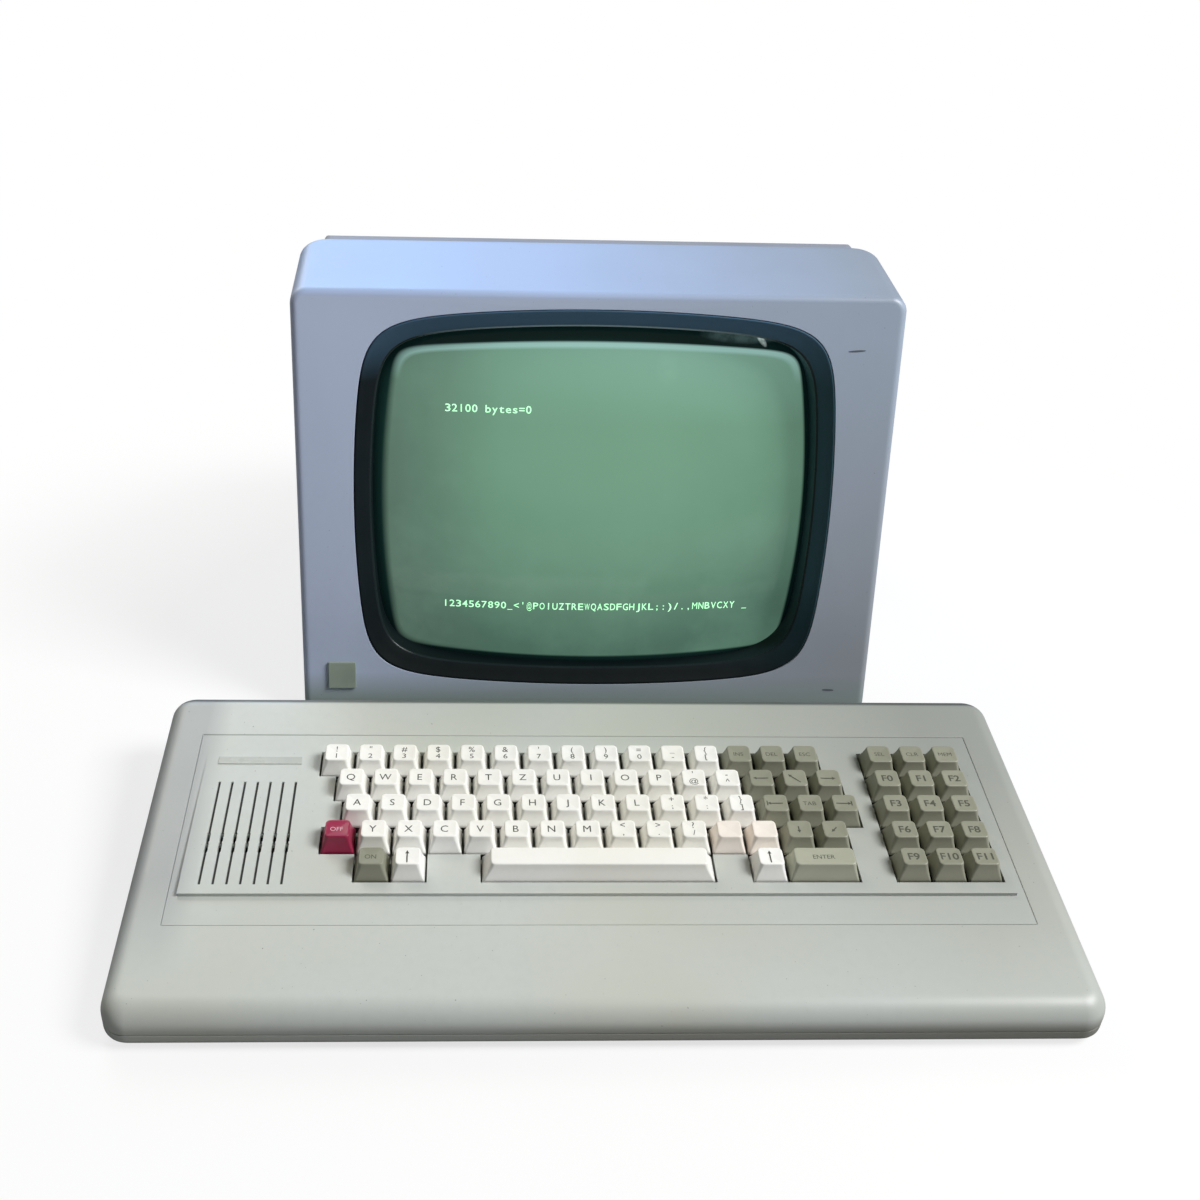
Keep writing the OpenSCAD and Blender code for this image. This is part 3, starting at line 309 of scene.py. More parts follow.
def painted_light_monitor(g, body):
    """Painted light and shade: bluer high up and by the window, greener and darker at its foot, a
    painted reflection on top.
    """
    higher = g.along(*MONITOR_HEIGHT)
    body = g.mix(g.times(higher, HIGHER_BLUE), body, srgb(203, 216, 244))
    shaded = g.mix(higher, srgb(148, 154, 162), srgb(164, 178, 196))
    body = g.mix(g.along(*WINDOW_TO_WALL), body, shaded)
    body = g.mix(g.along(*MONITOR_FOOT), body, srgb(134, 148, 146))
    painted_top_reflection = g.mix(g.along(*TOP_TO_WALL), srgb(173, 196, 236), srgb(147, 158, 172))
    return g.mix(g.along(*MONITOR_TOP), body, painted_top_reflection)


def painted_light_mask(g, body):
    """Painted light and shade: paler towards the wall, darkest at its foot, and a painted pale
    reflection at its top.
    """
    body = g.mix(g.along(*MASK_TO_WALL), body, srgb(46, 76, 84))
    body = g.mix(g.along(*MASK_FOOT), srgb(8, 18, 20), body)
    return g.mix(g.along(*MASK_TOP), body, srgb(76, 108, 134))


def painted_lip_highlight(g, body):
    """Its upper edge carries a painted highlight."""
    return g.mix(g.along(*LIP_TOP), body, srgb(178, 200, 212))


print(len(CASE_PAINTED_SHADE), "painted shades on the case")

# %% Finishes of the large mouldings
moulded("case_cream", (201, 206, 202), (198, 201, 190), drift=0.16, grain=0.6, grain_depth=0.02,
        shine=(0.36, 0.48), speck=0.79, painted_light=painted_shade_case)
moulded("panel_cream", (201, 206, 202), (196, 200, 190), drift=0.13, grain=0.6,
        grain_depth=0.02, shine=(0.4, 0.5), speck=0.8, painted_light=painted_shade_case)
moulded("monitor_grey", (184, 197, 222), (176, 188, 210), drift=0.2, grain=0.5,
        grain_depth=0.015, shine=(0.34, 0.46), speck=0.8, painted_light=painted_light_monitor)
moulded("mask_black", (14, 25, 29), drift=0.05, grain=0.4, grain_depth=0.01, shine=(0.45, 0.6),
        painted_light=painted_light_mask, specular=0.15)
# The lip's painted highlight glows a little.
moulded("mask_lip", (24, 34, 36), drift=0.03, grain=0.4, grain_depth=0.01, shine=(0.25, 0.35),
        painted_light=painted_lip_highlight, specular=0.2, glow=0.12)
print(len(finishes), "finishes with painted light and shade")

# %% Finishes of caps, metal, boards and other small pieces
# Each row: colour, second colour, drift in metres, grain and its depth in millimetres, shine.
SMALL_FINISHES = {
    "cover_grey": ((150, 156, 170), None, 0.15, 0.9, 0.05, (0.5, 0.65)),
    "steel_paint": ((172, 174, 160), None, 0.03, 0.5, 0.01, (0.5, 0.65)),
    # Groove floors are darkened partly for dust and partly as painted shade.
    "groove_dust_and_shade": ((74, 76, 72), None, 0.02, 0.5, 0.05, (0.8, 0.95)),
    "bar_satin": ((178, 184, 180), None, 0.03, 0.3, 0.01, (0.25, 0.35)),
    "white_cap": ((253, 253, 250), (248, 247, 240), 0.06, 0.4, 0.012, (0.34, 0.46)),
    "blank_cap": ((249, 241, 232), (244, 232, 222), 0.06, 0.4, 0.012, (0.34, 0.46)),
    "grey_cap": ((152, 153, 136), (142, 143, 126), 0.06, 0.4, 0.012, (0.36, 0.48)),
    # The return key's grey is painted lighter, as the larger key catches more light.
    "grey_cap_painted_lit": ((174, 176, 158), (164, 166, 148), 0.06, 0.4, 0.012, (0.36, 0.48)),
    "red_cap": ((168, 44, 84), (150, 36, 70), 0.03, 0.4, 0.012, (0.3, 0.4)),
    "dark_ink": ((74, 76, 70), None, 0.01, 0.3, 0.0, (0.5, 0.6)),
    "grey_ink": ((84, 86, 76), None, 0.01, 0.3, 0.0, (0.5, 0.6)),
    "pale_ink": ((236, 190, 204), None, 0.01, 0.3, 0.0, (0.5, 0.6)),
    "scuff": ((92, 98, 108), None, 0.01, 0.5, 0.0, (0.6, 0.7)),
    "badge_grey": ((152, 164, 150), None, 0.02, 0.3, 0.01, (0.35, 0.5)),
    "black_plastic": ((38, 38, 40), None, 0.03, 0.4, 0.02, (0.35, 0.5)),
    "rubber": ((26, 26, 27), None, 0.02, 0.6, 0.05, (0.75, 0.9)),
    "zinc": ((176, 178, 180), None, 0.03, 0.5, 0.01, (0.25, 0.42)),
    "core_steel": ((112, 106, 98), None, 0.02, 0.5, 0.04, (0.4, 0.6)),
    "plain_aluminium": ((190, 192, 196), None, 0.03, 0.4, 0.01, (0.3, 0.45)),
    "green_board": ((40, 104, 62), (34, 90, 52), 0.01, 1.2, 0.03, (0.25, 0.4)),
    "brown_board": ((150, 122, 62), (136, 106, 50), 0.02, 0.8, 0.03, (0.45, 0.6)),
    "blue_sleeve": ((36, 58, 118), None, 0.01, 0.5, 0.01, (0.25, 0.4)),
    "copper_wire": ((150, 84, 46), (120, 60, 30), 0.01, 0.5, 0.12, (0.25, 0.4)),
    "speaker_cone": ((46, 46, 48), None, 0.01, 0.8, 0.05, (0.7, 0.85)),
    "tube_glass": ((70, 80, 76), None, 0.05, 1.5, 0.01, (0.08, 0.2)),
}
METAL = {"zinc": 1.0, "core_steel": 0.6, "plain_aluminium": 1.0, "copper_wire": 0.8}
for name, row in SMALL_FINISHES.items():
    moulded(name, *row, METAL.get(name, 0.0))

KEEP_THEIR_SHAPE = {
    "green_board": ("keyboard_board", "main_board"),
    "brown_board": ("neck_board", "monitor_board"),
    "black_plastic": ("key_switches", "main_board_chips", "keyboard_connector",
                      "line_transformer"),
    "steel_paint": ("key_plate",),
    "zinc": ("keyboard_screws", "tube_band", "tube_screws", "control_pots"),
    "core_steel": ("mains_transformer",),
    "plain_aluminium": ("regulator_heat_sink",),
    "blue_sleeve": ("monitor_board_parts",),
    "copper_wire": ("deflection_yoke",),
    "speaker_cone": ("speaker",),
}
for material, names in KEEP_THEIR_SHAPE.items():
    finish(material, *names)
print(len(finishes), "finishes,", sum(map(len, KEEP_THEIR_SHAPE.values())), "nodes as they are")

# %% [markdown]
# ## Turning outlines into shells
# A moulded shell is a stack of outlines. Each outline is a ring of points, and neighbouring rings
# are joined with four-sided faces. This keeps the soft edges exact: a round edge is only a run of
# rings that step inwards along a quarter circle. Subdivision would also round the edges, but it
# would pull the flat faces out of true.

# %% Mesh helpers
SAME_POINT, SAME_CAD_POINT = 1e-6, 2e-6
FLAT_ENOUGH = math.radians(0.6)
LARGE_FACES_FIRST = 90


def put_mesh(name, bm):
    """Turns bm into a mesh object, and lets go of it."""
    mesh = bpy.data.meshes.new(name)
    bm.to_mesh(mesh)
    bm.free()
    return put(name, mesh)


def new_piece(name, bm, material, body=ROOT, smooth=True, more=()):
    """Makes a piece out of bm, with its finishes, and lets it ride on a body."""
    bmesh.ops.remove_doubles(bm, verts=bm.verts, dist=SAME_POINT)
    bmesh.ops.recalc_face_normals(bm, faces=bm.faces)
    piece = put_mesh(name, bm)
    if smooth:
        faces = piece.data.polygons
        faces.foreach_set("use_smooth", [True] * len(faces))
    for finish_name in (material, *more):
        piece.data.materials.append(finishes[finish_name])
    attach(piece, body)
    return piece


def even_normals(piece):
    """Lets large flat faces keep their own normals beside small round ones."""
    modifier = piece.modifiers.new("even_normals", "WEIGHTED_NORMAL")
    modifier.keep_sharp = True
    modifier.weight = LARGE_FACES_FIRST
    return piece


def soften(name, width, material, segments=2, angle=35, body=ROOT, more=()):
    """Replaces a CAD node by a copy of it whose sharp edges are rounded, width mm wide."""
    bm = bmesh.new()
    bm.from_mesh(nodes[name].data)
    bmesh.ops.remove_doubles(bm, verts=bm.verts, dist=SAME_CAD_POINT)
    bmesh.ops.dissolve_limit(bm, angle_limit=FLAT_ENOUGH, verts=bm.verts, edges=bm.edges)
    bmesh.ops.connect_verts_concave(bm, faces=bm.faces)
    piece = new_piece(name + "_soft", bm, material, body, more=more)
    piece.matrix_world = nodes[name].matrix_world.copy()
    edge = piece.modifiers.new("soft_edge", "BEVEL")
    edge.width = width * MM
    edge.segments = segments
    edge.limit_method = "ANGLE"
    edge.angle_limit = math.radians(angle)
    edge.use_clamp_overlap = True
    edge.miter_outer = "MITER_ARC"
    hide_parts(name)
    return even_normals(piece)


print("edges under", round(math.degrees(FLAT_ENOUGH), 1), "degrees are taken for flat")


# %% Ring helpers
def loft(bm, rings):
    """Joins rings of points with faces, and returns the rings of new vertices."""
    made = [[bm.verts.new(p) for p in ring] for ring in rings]
    count = len(made[0])
    for lower, upper in zip(made, made[1:]):
        for k in range(count):
            j = (k + 1) % count
            bm.faces.new((lower[k], lower[j], upper[j], upper[k]))
    return made


def ring_edges(bm, ring):
    pairs = zip(ring, ring[1:] + ring[:1])
    return [bm.edges.get(pair) or bm.edges.new(pair) for pair in pairs]


def fill_between(bm, *rings):
    """Fills the flat face between an outline and the outlines of its holes."""
    edges = [edge for ring in rings for edge in ring_edges(bm, ring)]
    bmesh.ops.triangle_fill(bm, use_beauty=True, edges=edges)


def round_rectangle(x0, x1, y0, y1, radius, steps, low_radius=None):
    """Points of a rectangle with round corners, each with its direction inwards."""
    points, low = [], low_radius or radius
    for cx, cy, start, r in ((x1 - radius, y1 - radius, 0, radius),
                             (x0 + radius, y1 - radius, 90, radius),
                             (x0 + low, y0 + low, 180, low), (x1 - low, y0 + low, 270, low)):
        for k in range(steps + 1):
            turn = math.radians(start + 90 * k / steps)
            out = Vector((math.cos(turn), math.sin(turn)))
            points.append((Vector((cx, cy)) + out * r, -out))
    return points


def quarter(steps):
    """Inset and drop of a quarter circle of radius one, from the wall to the flat face."""
    for k in range(steps + 1):
        turn = math.radians(90 * k / steps)
        yield 1 - math.cos(turn), 1 - math.sin(turn)


print("a quarter circle in 8 steps:", [round(inset, 2) for inset, _ in quarter(8)])

# %% [markdown]
# ## The computer case
# The real case is two mouldings that meet just above the table. The deck slopes, the long front
# edge is a full soft roll, and the upright corners are round in plan. Each ring follows the plan
# outline, and its height is taken from the sloping deck, so the roll stays tangent to the deck.

# %% Case shells
CORNER_R = 14 * MM
FRONT_R, SIDE_R, REAR_R = 11 * MM, 10 * MM, 11.5 * MM
UNDER_R = 4 * MM
WALL = 2.5 * MM
SEAM = 0.18 * MM
DECK_EDGE = 1.2 * MM
plan = round_rectangle(case_low[0], case_high[0], front_y, rear_y, CORNER_R, 12)


def edge_radius(inward):
    return SIDE_R * inward.x ** 2 + (FRONT_R if inward.y > 0 else REAR_R) * inward.y ** 2


def deck_ring(inset, drop, extra=0.0):
    ring = []
    for point, inward in plan:
        r = edge_radius(inward)
        at = point + inward * (r * inset + extra)
        ring.append(Vector((at.x, at.y, deck_z(at.y) - r * drop)))
    return ring


def wall_ring(z, inset=0.0):
    return [Vector((*(point + inward * inset), z)) for point, inward in plan]


def seam_rings(way):
    """The small groove where the halves meet; way is 1 for the upper one, -1 for the lower."""
    return [wall_ring(split_z, 3 * SEAM), wall_ring(split_z + way * SEAM, SEAM * 0.6),
            wall_ring(split_z + way * 3 * SEAM)]


# %% The opening for the key panel
OPENING_HALF_D = 67.25 * MM
OPENING_R, OPENING_ROUND = 0.6 * MM, 0.6 * MM


def panel_hole(bm):
    """The rim of the opening for the key panel: a small round, then straight down."""
    slope = Matrix.Rotation(DECK_SLOPE, 3, "X")
    half_w = (panel_high[0] - panel_low[0]) / 2 + PANEL_GAP
    half_d = OPENING_HALF_D
    centre = Vector((0, field_y, deck_z(field_y))) + slope @ Vector((0, FIELD_BACK - half_d, 0))
    rings = []
    for grow, z in ((OPENING_ROUND, 0), (OPENING_ROUND * 0.3, -OPENING_ROUND * 0.3),
                    (0, -OPENING_ROUND), (0, -WALL)):
        rings.append([centre + slope @ Vector((p.x, p.y, z)) for p, _ in round_rectangle(
            -half_w - grow, half_w + grow, -half_d - grow, half_d + grow, OPENING_R + grow, 3)])
    return loft(bm, rings)


bm = bmesh.new()
outer = loft(bm, seam_rings(1) + [deck_ring(inset, drop) for inset, drop in quarter(12)]
             + [deck_ring(1, 0, DECK_EDGE)])
hole = panel_hole(bm)
fill_between(bm, outer[-1], hole[0])
upper_case = new_piece("upper_case_shell", bm, "case_cream")
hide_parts("upper_case")

bm = bmesh.new()
under_roll = [[Vector((*(p + n * UNDER_R * inset), foot_z + UNDER_R * drop)) for p, n in plan]
              for inset, drop in quarter(6)]
under = loft(bm, seam_rings(-1) + under_roll + [wall_ring(foot_z, UNDER_R + MM)])
bm.faces.new(under[-1])
lower_case = new_piece("lower_case_shell", bm, "case_cream")
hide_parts("lower_case")
print("case shells of", len(plan), "points a ring, opening", len(hole[0]), "points")

# %% [markdown]
# ## Walls and holes
# So far the shells are skins. Solidify gives them the wall of a real moulding, and boolean cuts
# make the holes for the sockets, the switch and the screws. The cutters are thrown away.

# %% Wall, cut and cutter helpers
def thicken(piece, wall):
    modifier = piece.modifiers.new("wall", "SOLIDIFY")
    modifier.thickness = wall
    modifier.offset = -1
    modifier.use_even_offset = True
    modifier.use_quality_normals = True


def cut(piece, cutters):
    """Cuts a list of throw-away meshes out of a piece, and keeps the result."""
    bpy.context.view_layer.update()
    for cutter in cutters:
        modifier = piece.modifiers.new("hole", "BOOLEAN")
        modifier.operation = "DIFFERENCE"
        modifier.object = cutter
        modifier.solver = "EXACT"
    depsgraph = bpy.context.evaluated_depsgraph_get()
    mesh = bpy.data.meshes.new_from_object(piece.evaluated_get(depsgraph))
    mesh.materials.clear()
    mesh.materials.append(piece.data.materials[0])
    piece.modifiers.clear()
    piece.data = mesh
    for cutter in cutters:
        bpy.data.objects.remove(cutter)


def bar(centre, size, round_bar=False, along="Z"):
    """A box or a round bar to cut with."""
    bm = bmesh.new()
    if round_bar:
        bmesh.ops.create_cone(bm, cap_ends=True, segments=48, radius1=0.5, radius2=0.5, depth=1)
    else:
        bmesh.ops.create_cube(bm, size=1)
    bmesh.ops.scale(bm, vec=size, verts=bm.verts)
    if along == "Y":
        bmesh.ops.rotate(bm, matrix=Matrix.Rotation(math.radians(90), 3, "X"), verts=bm.verts)
    bmesh.ops.translate(bm, vec=centre, verts=bm.verts)
    return put_mesh("cutter", bm)


def islands(name):
    """Middle of each separate solid of a CAD node, from left to right and front to rear."""
    bm = bmesh.new()
    bm.from_mesh(nodes[name].data)
    bmesh.ops.remove_doubles(bm, verts=bm.verts, dist=SAME_CAD_POINT)
    left, middles = set(bm.verts), []
    while left:
        todo, seen = [left.pop()], []
        while todo:
            vert = todo.pop()
            seen.append(vert)
            for edge in vert.link_edges:
                other = edge.other_vert(vert)
                if other in left:
                    left.discard(other)
                    todo.append(other)
        middle = Vector([(min(v.co[i] for v in seen) + max(v.co[i] for v in seen)) / 2
                         for i in range(3)])
        middles.append(nodes[name].matrix_world @ middle)
    bm.free()
    return sorted(middles, key=lambda at: (round(at.x, 4), round(at.y, 4)))


# %% Cut the case
SOCKET_W, CUT_DEPTH = 15.6 * MM, 10 * MM
SWITCH_HOLE = (21 * MM, CUT_DEPTH, 14.5 * MM)
SCREW_SINK_W, SCREW_SINK_DEPTH = 6.6 * MM, 6 * MM
thicken(upper_case, WALL)
thicken(lower_case, WALL)
sockets = islands("rear_sockets")
cutters = [bar(Vector((at.x, rear_y, at.z)), (SOCKET_W, SOCKET_W, CUT_DEPTH), True, "Y")
           for at in sockets]
case_switch = min(islands("power_switch_bodies"), key=lambda at: at.y)
cutters.append(bar(Vector((case_switch.x, rear_y, case_switch.z)), SWITCH_HOLE))
cut(upper_case, cutters)
cut(lower_case, [bar(Vector((at.x, at.y, foot_z)),
                     (SCREW_SINK_W, SCREW_SINK_W, SCREW_SINK_DEPTH), True)
                 for at in islands("case_screws")])
even_normals(upper_case)
even_normals(lower_case)
print("case holes:", len(sockets), "sockets and one switch")

# %% Key panel
GROOVE_DEPTH, BAR_RISE = 1 * MM, 0.5 * MM
FLOOR_SEEN, BAR_SEEN = 0.05 * MM, 0.02 * MM
key_panel = soften("key_panel", 0.3, "panel_cream", more=("groove_dust_and_shade", "bar_satin"))
to_field = field_frame.inverted()
# Groove floors get the finish that is partly dust and partly painted shade.
dusty_shaded = 0
for face in key_panel.data.polygons:
    height = (to_field @ face.center).z
    if (to_field.to_3x3() @ face.normal).z <= 0.9:
        continue
    if abs(height + GROOVE_DEPTH) < FLOOR_SEEN:
        face.material_index = 1
        dusty_shaded += 1
    elif abs(height - BAR_RISE) < BAR_SEEN:
        face.material_index = 2
print(dusty_shaded, "groove floors in the key panel")

# %% [markdown]
# ## Key caps
# Every cap is a small tray turned upside down: a square foot, sides that curve inwards as they
# rise, a rounded top edge and a shallow dish for the fingertip. The rows nearer the user have
# shorter tops. A cap could be a cube with a bevel, but the hollow sides and the dish are what the
# eye reads as a key, so each one is lofted from rings. The long space bar has a flat top.

# %% Cap sizes
CAP_FOOT = 18 * MM
CAP_GAP = 1.05 * MM
CAP_SIDE, SPACE_SIDE = 2.4 * MM, 4.2 * MM
CAP_RISE = 9 * MM
CAP_SKIRT = 1.5 * MM
CAP_WALL = 1.3 * MM
CAP_SHIFT = 0.5 * MM
CAP_EDGE = 0.9 * MM
CAP_FOOT_R, CAP_TOP_R = 0.8 * MM, 2.3 * MM
CAP_LEAN, SIDE_STEPS, EDGE_STEPS = 1.35, 6, 4
DISH, DISH_R = 0.55 * MM, 1.8 * MM
DISH_RINGS = (0.8, 0.55, 0.3, 0.08)
TOP_D, TOP_D_LESS = 13 * MM, 0.3 * MM
STEM_W, STEM_H, STEM_MIDDLE = 5 * MM, 16 * MM, -0.5 * MM
LONG_KEY = 3


def top_depth(row):
    return TOP_D - TOP_D_LESS * (row - 1)


def side_of(units):
    return CAP_SIDE if units < LONG_KEY else SPACE_SIDE


def dish_depth(x, y, half, row, units):
    """The dish is a shallow bowl: its depth falls to nothing at the rim of the top."""
    if units > LONG_KEY:
        return 0.0
    return DISH * max(0.0, 1 - max(abs(x) / half, abs(y) * 2 / top_depth(row)) ** 2)


def cap_ring(half, front, back, radius, height):
    """One ring of a cap; height gives its z at each point."""
    return [Vector((p.x, p.y, height(p.x, p.y)))
            for p, _ in round_rectangle(-half, half, front, back, radius, 5)]


print("tops are", [round(top_depth(row) / MM, 1) for row in range(1, 6)], "mm deep")


# %% Cap outside
def cap_rings(units, row):
    """The rings of one cap, round the middle of its top, from its foot to its dish."""
    foot_half = (units * PITCH - CAP_GAP) / 2
    foot_back = CAP_FOOT / 2 - CAP_SHIFT
    foot_front = -CAP_FOOT / 2 - CAP_SHIFT
    top_half = foot_half - side_of(units)
    top_back = top_depth(row) / 2
    rings = []
    for k in range(SIDE_STEPS + 1):
        up = k / SIDE_STEPS
        lean = 1 - (1 - up) ** CAP_LEAN
        z = -CAP_SKIRT + up * (CAP_RISE + CAP_SKIRT - CAP_EDGE)
        rings.append(cap_ring(foot_half + (top_half - foot_half) * lean,
                              foot_front + (-top_back - foot_front) * lean,
                              foot_back + (top_back - foot_back) * lean,
                              CAP_FOOT_R + (CAP_TOP_R - CAP_FOOT_R) * up, lambda x, y: z))
    for inset, drop in list(quarter(EDGE_STEPS))[1:]:
        reach = top_back - CAP_EDGE * inset
        rings.append(cap_ring(
            top_half - CAP_EDGE * inset, -reach, reach, CAP_TOP_R - CAP_EDGE * inset / 2,
            lambda x, y: CAP_RISE - CAP_EDGE * drop
            - dish_depth(x, y, top_half, row, units) * (1 - drop)))
    for shrink in DISH_RINGS:
        reach = (top_back - CAP_EDGE) * shrink
        rings.append(cap_ring(
            (top_half - CAP_EDGE) * shrink, -reach, reach, DISH_R * shrink,
            lambda x, y: CAP_RISE - dish_depth(x, y, top_half, row, units)))
    return rings


# %% Cap inside, and the whole cap
HOLLOW_FRONT_WALL = 1.0 * MM
HOLLOW_H, HOLLOW_R = 5.9 * MM, 0.25 * MM
HOLLOW_SIDE_LEAN, HOLLOW_FRONT_LEAN, HOLLOW_REAR_LEAN = 0.68, 1.75 * MM, 0.9 * MM


def cap_inside(units):
    """The rings of a cap's hollow underside, from its foot to its ceiling."""
    foot_half = (units * PITCH - CAP_GAP) / 2 - CAP_WALL
    front = -CAP_FOOT / 2 - CAP_SHIFT + HOLLOW_FRONT_WALL
    back = CAP_FOOT / 2 - CAP_SHIFT - CAP_WALL
    return [cap_ring(foot_half - HOLLOW_SIDE_LEAN * side_of(units) * up,
                     front + HOLLOW_FRONT_LEAN * up, back - HOLLOW_REAR_LEAN * up, HOLLOW_R,
                     lambda x, y: -CAP_SKIRT + up * HOLLOW_H) for up in (0, 1)]


def key_at(column, row):
    """The middle of a key in the field's own frame; columns count in key widths."""
    return Vector((column * PITCH, -ROW_BACK - (row - 1) * PITCH, 0))


def add_cap(bm, column, row, units=1):
    place = field_frame @ Matrix.Translation(key_at(column, row))
    outside, inside = [loft(bm, [[place @ p for p in ring] for ring in rings])
                       for rings in (cap_rings(units, row), cap_inside(units))]
    bm.faces.new(outside[-1])
    bm.faces.new(inside[-1])
    foot, rim = outside[0], inside[0]
    for k, (corner, within) in enumerate(zip(foot, rim)):
        j = (k + 1) % len(foot)
        bm.faces.new((corner, foot[j], rim[j], within))
    stem = bmesh.ops.create_cube(bm, size=1)["verts"]
    bmesh.ops.scale(bm, vec=(STEM_W, STEM_W, STEM_H), verts=stem)
    bmesh.ops.translate(bm, vec=(0, -CAP_SHIFT, STEM_MIDDLE), verts=stem)
    bmesh.ops.transform(bm, matrix=place, verts=stem)


# %% Build the caps, one piece for each node
caps = {
    "number_keys": [(c, 1, 1) for c in range(12)],
    "upper_letter_keys": [(c + 0.5, 2, 1) for c in range(12)],
    "home_letter_keys": [(c + 0.75, 3, 1) for c in range(12)],
    "lower_letter_keys": [(c + 1.25, 4, 1) for c in range(10)],
    "function_keys": [(16.25 + c, r, 1) for r in range(1, 6) for c in range(3)],
    "red_key": [(0.25, 4, 1)],
    "stop_key": [(1.25, 5, 1)],
    "left_shift_key": [(2.25, 5, 1)],
    "space_bar": [(7.5, 5, 6.48)],
    "right_shift_key": [(12.25, 5, 1)],
    "return_key": [(13.75, 5, 2)],
}
GREY_COLUMNS = {1: (12, 13, 14), 2: (12.5, 13.5, 14.5), 3: (12.75, 13.75, 14.75),
                4: (13.25, 14.25)}
BLANK_COLUMNS = (11.25, 12.25)
for row, columns in GREY_COLUMNS.items():
    for letter, column in zip("abc", columns):
        caps[f"grey_key_{row}{letter}"] = [(column, row, 1)]
WHITE = ("number_keys", "upper_letter_keys", "home_letter_keys", "lower_letter_keys",
         "left_shift_key", "space_bar", "right_shift_key")
# The return key gets the grey that is painted lighter.
cap_finish = {"red_key": "red_cap", "return_key": "grey_cap_painted_lit"}
cap_finish.update({node: "white_cap" for node in WHITE})
for node, places in caps.items():
    bm = bmesh.new()
    for place in places:
        add_cap(bm, *place)
    piece = new_piece(node + "_caps", bm, cap_finish.get(node, "grey_cap"), node)
    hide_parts(node)
    even_normals(piece)
bm = bmesh.new()
for column in BLANK_COLUMNS:
    add_cap(bm, column, 4)
blank_caps = even_normals(new_piece("blank_caps", bm, "blank_cap", "lower_letter_keys"))
print(sum(len(places) for places in caps.values()) + len(BLANK_COLUMNS), "caps")

# %% [markdown]
# ## Legends
# The letters are printed on the caps. Text objects give their shapes, and each point of a letter
# is laid on the dish of its cap, a hair above the plastic. An image would be quicker, but these
# stay sharp at any distance. Words and signs are plain, common ones.

# %% Lettering helpers
LETTER_MIDDLE = 0.35
STROKE, ARROW_HEAD, BAR_HALF = 0.66 * MM, 1.05 * MM, 1.7 * MM
HEAD_LENGTH = 1.9
INK_UP = 0.035 * MM


def text_mesh(text, size, bold=0.0, stretch=1.0):
    """A flat mesh of one short text, centred on its middle, as points and faces."""
    curve = bpy.data.curves.new("text", "FONT")
    curve.body = text
    curve.size = size
    curve.offset = bold
    curve.resolution_u = 3
    holder = put("text", curve)
    bpy.context.view_layer.update()
    mesh = bpy.data.meshes.new_from_object(
        holder.evaluated_get(bpy.context.evaluated_depsgraph_get()))
    points = [v.co.copy() for v in mesh.vertices]
    faces = [tuple(p.vertices) for p in mesh.polygons]
    bpy.data.objects.remove(holder)
    bpy.data.curves.remove(curve)
    bpy.data.meshes.remove(mesh)
    middle = (max(p.x for p in points) + min(p.x for p in points)) / 2
    return [Vector(((p.x - middle) * stretch, p.y - size * LETTER_MIDDLE, 0))
            for p in points], faces


def arrow(turn, length, bar_at=None):
    """An arrow sign that points along turn, in degrees."""
    half, head, tip = STROKE / 2, ARROW_HEAD, length / 2
    neck = tip - head * HEAD_LENGTH
    points = [(-tip, -half), (neck, -half), (neck, half), (-tip, half),
              (neck, -head), (tip, 0), (neck, head)]
    faces = [(0, 1, 2, 3), (4, 5, 6)]
    if bar_at is not None:
        x, y = bar_at * tip, BAR_HALF
        points += [(x - half, -y), (x + half, -y), (x + half, y), (x - half, y)]
        faces.append((7, 8, 9, 10))
    spin = Matrix.Rotation(math.radians(turn), 3, "Z")
    return [spin @ Vector((x, y, 0)) for x, y in points], faces


def add_flat(bm, points, faces):
    verts = [bm.verts.new(p) for p in points]
    for face in faces:
        bm.faces.new([verts[k] for k in face])


def print_on(bm, shape, column, row, dx=0.0, dy=0.0, units=1):
    """Lays a flat shape on the dish of one cap."""
    top_half = (units * PITCH - CAP_GAP) / 2 - CAP_SIDE
    points = []
    for p in shape[0]:
        x, y = p.x + dx, p.y + dy
        z = CAP_RISE - dish_depth(x, y, top_half, row, units) + INK_UP
        points.append(field_frame @ (key_at(column, row) + Vector((x, y, z))))
    add_flat(bm, points, shape[1])


def add_legends(node, bm, ending="_legend"):
    """Makes the printed signs of one node a piece, with the ink that suits its caps."""
    ink, slot = "grey_ink", "grey_caps"
    if node == "red_key":
        ink, slot = "pale_ink", "red_cap"
    elif node in WHITE:
        ink, slot = "dark_ink", "white_caps"
    new_piece(node + ending, bm, ink, node, smooth=False)


print("a plain arrow has", len(arrow(0, PITCH)[1]), "faces, one with a bar",
      len(arrow(0, PITCH, 1)[1]))

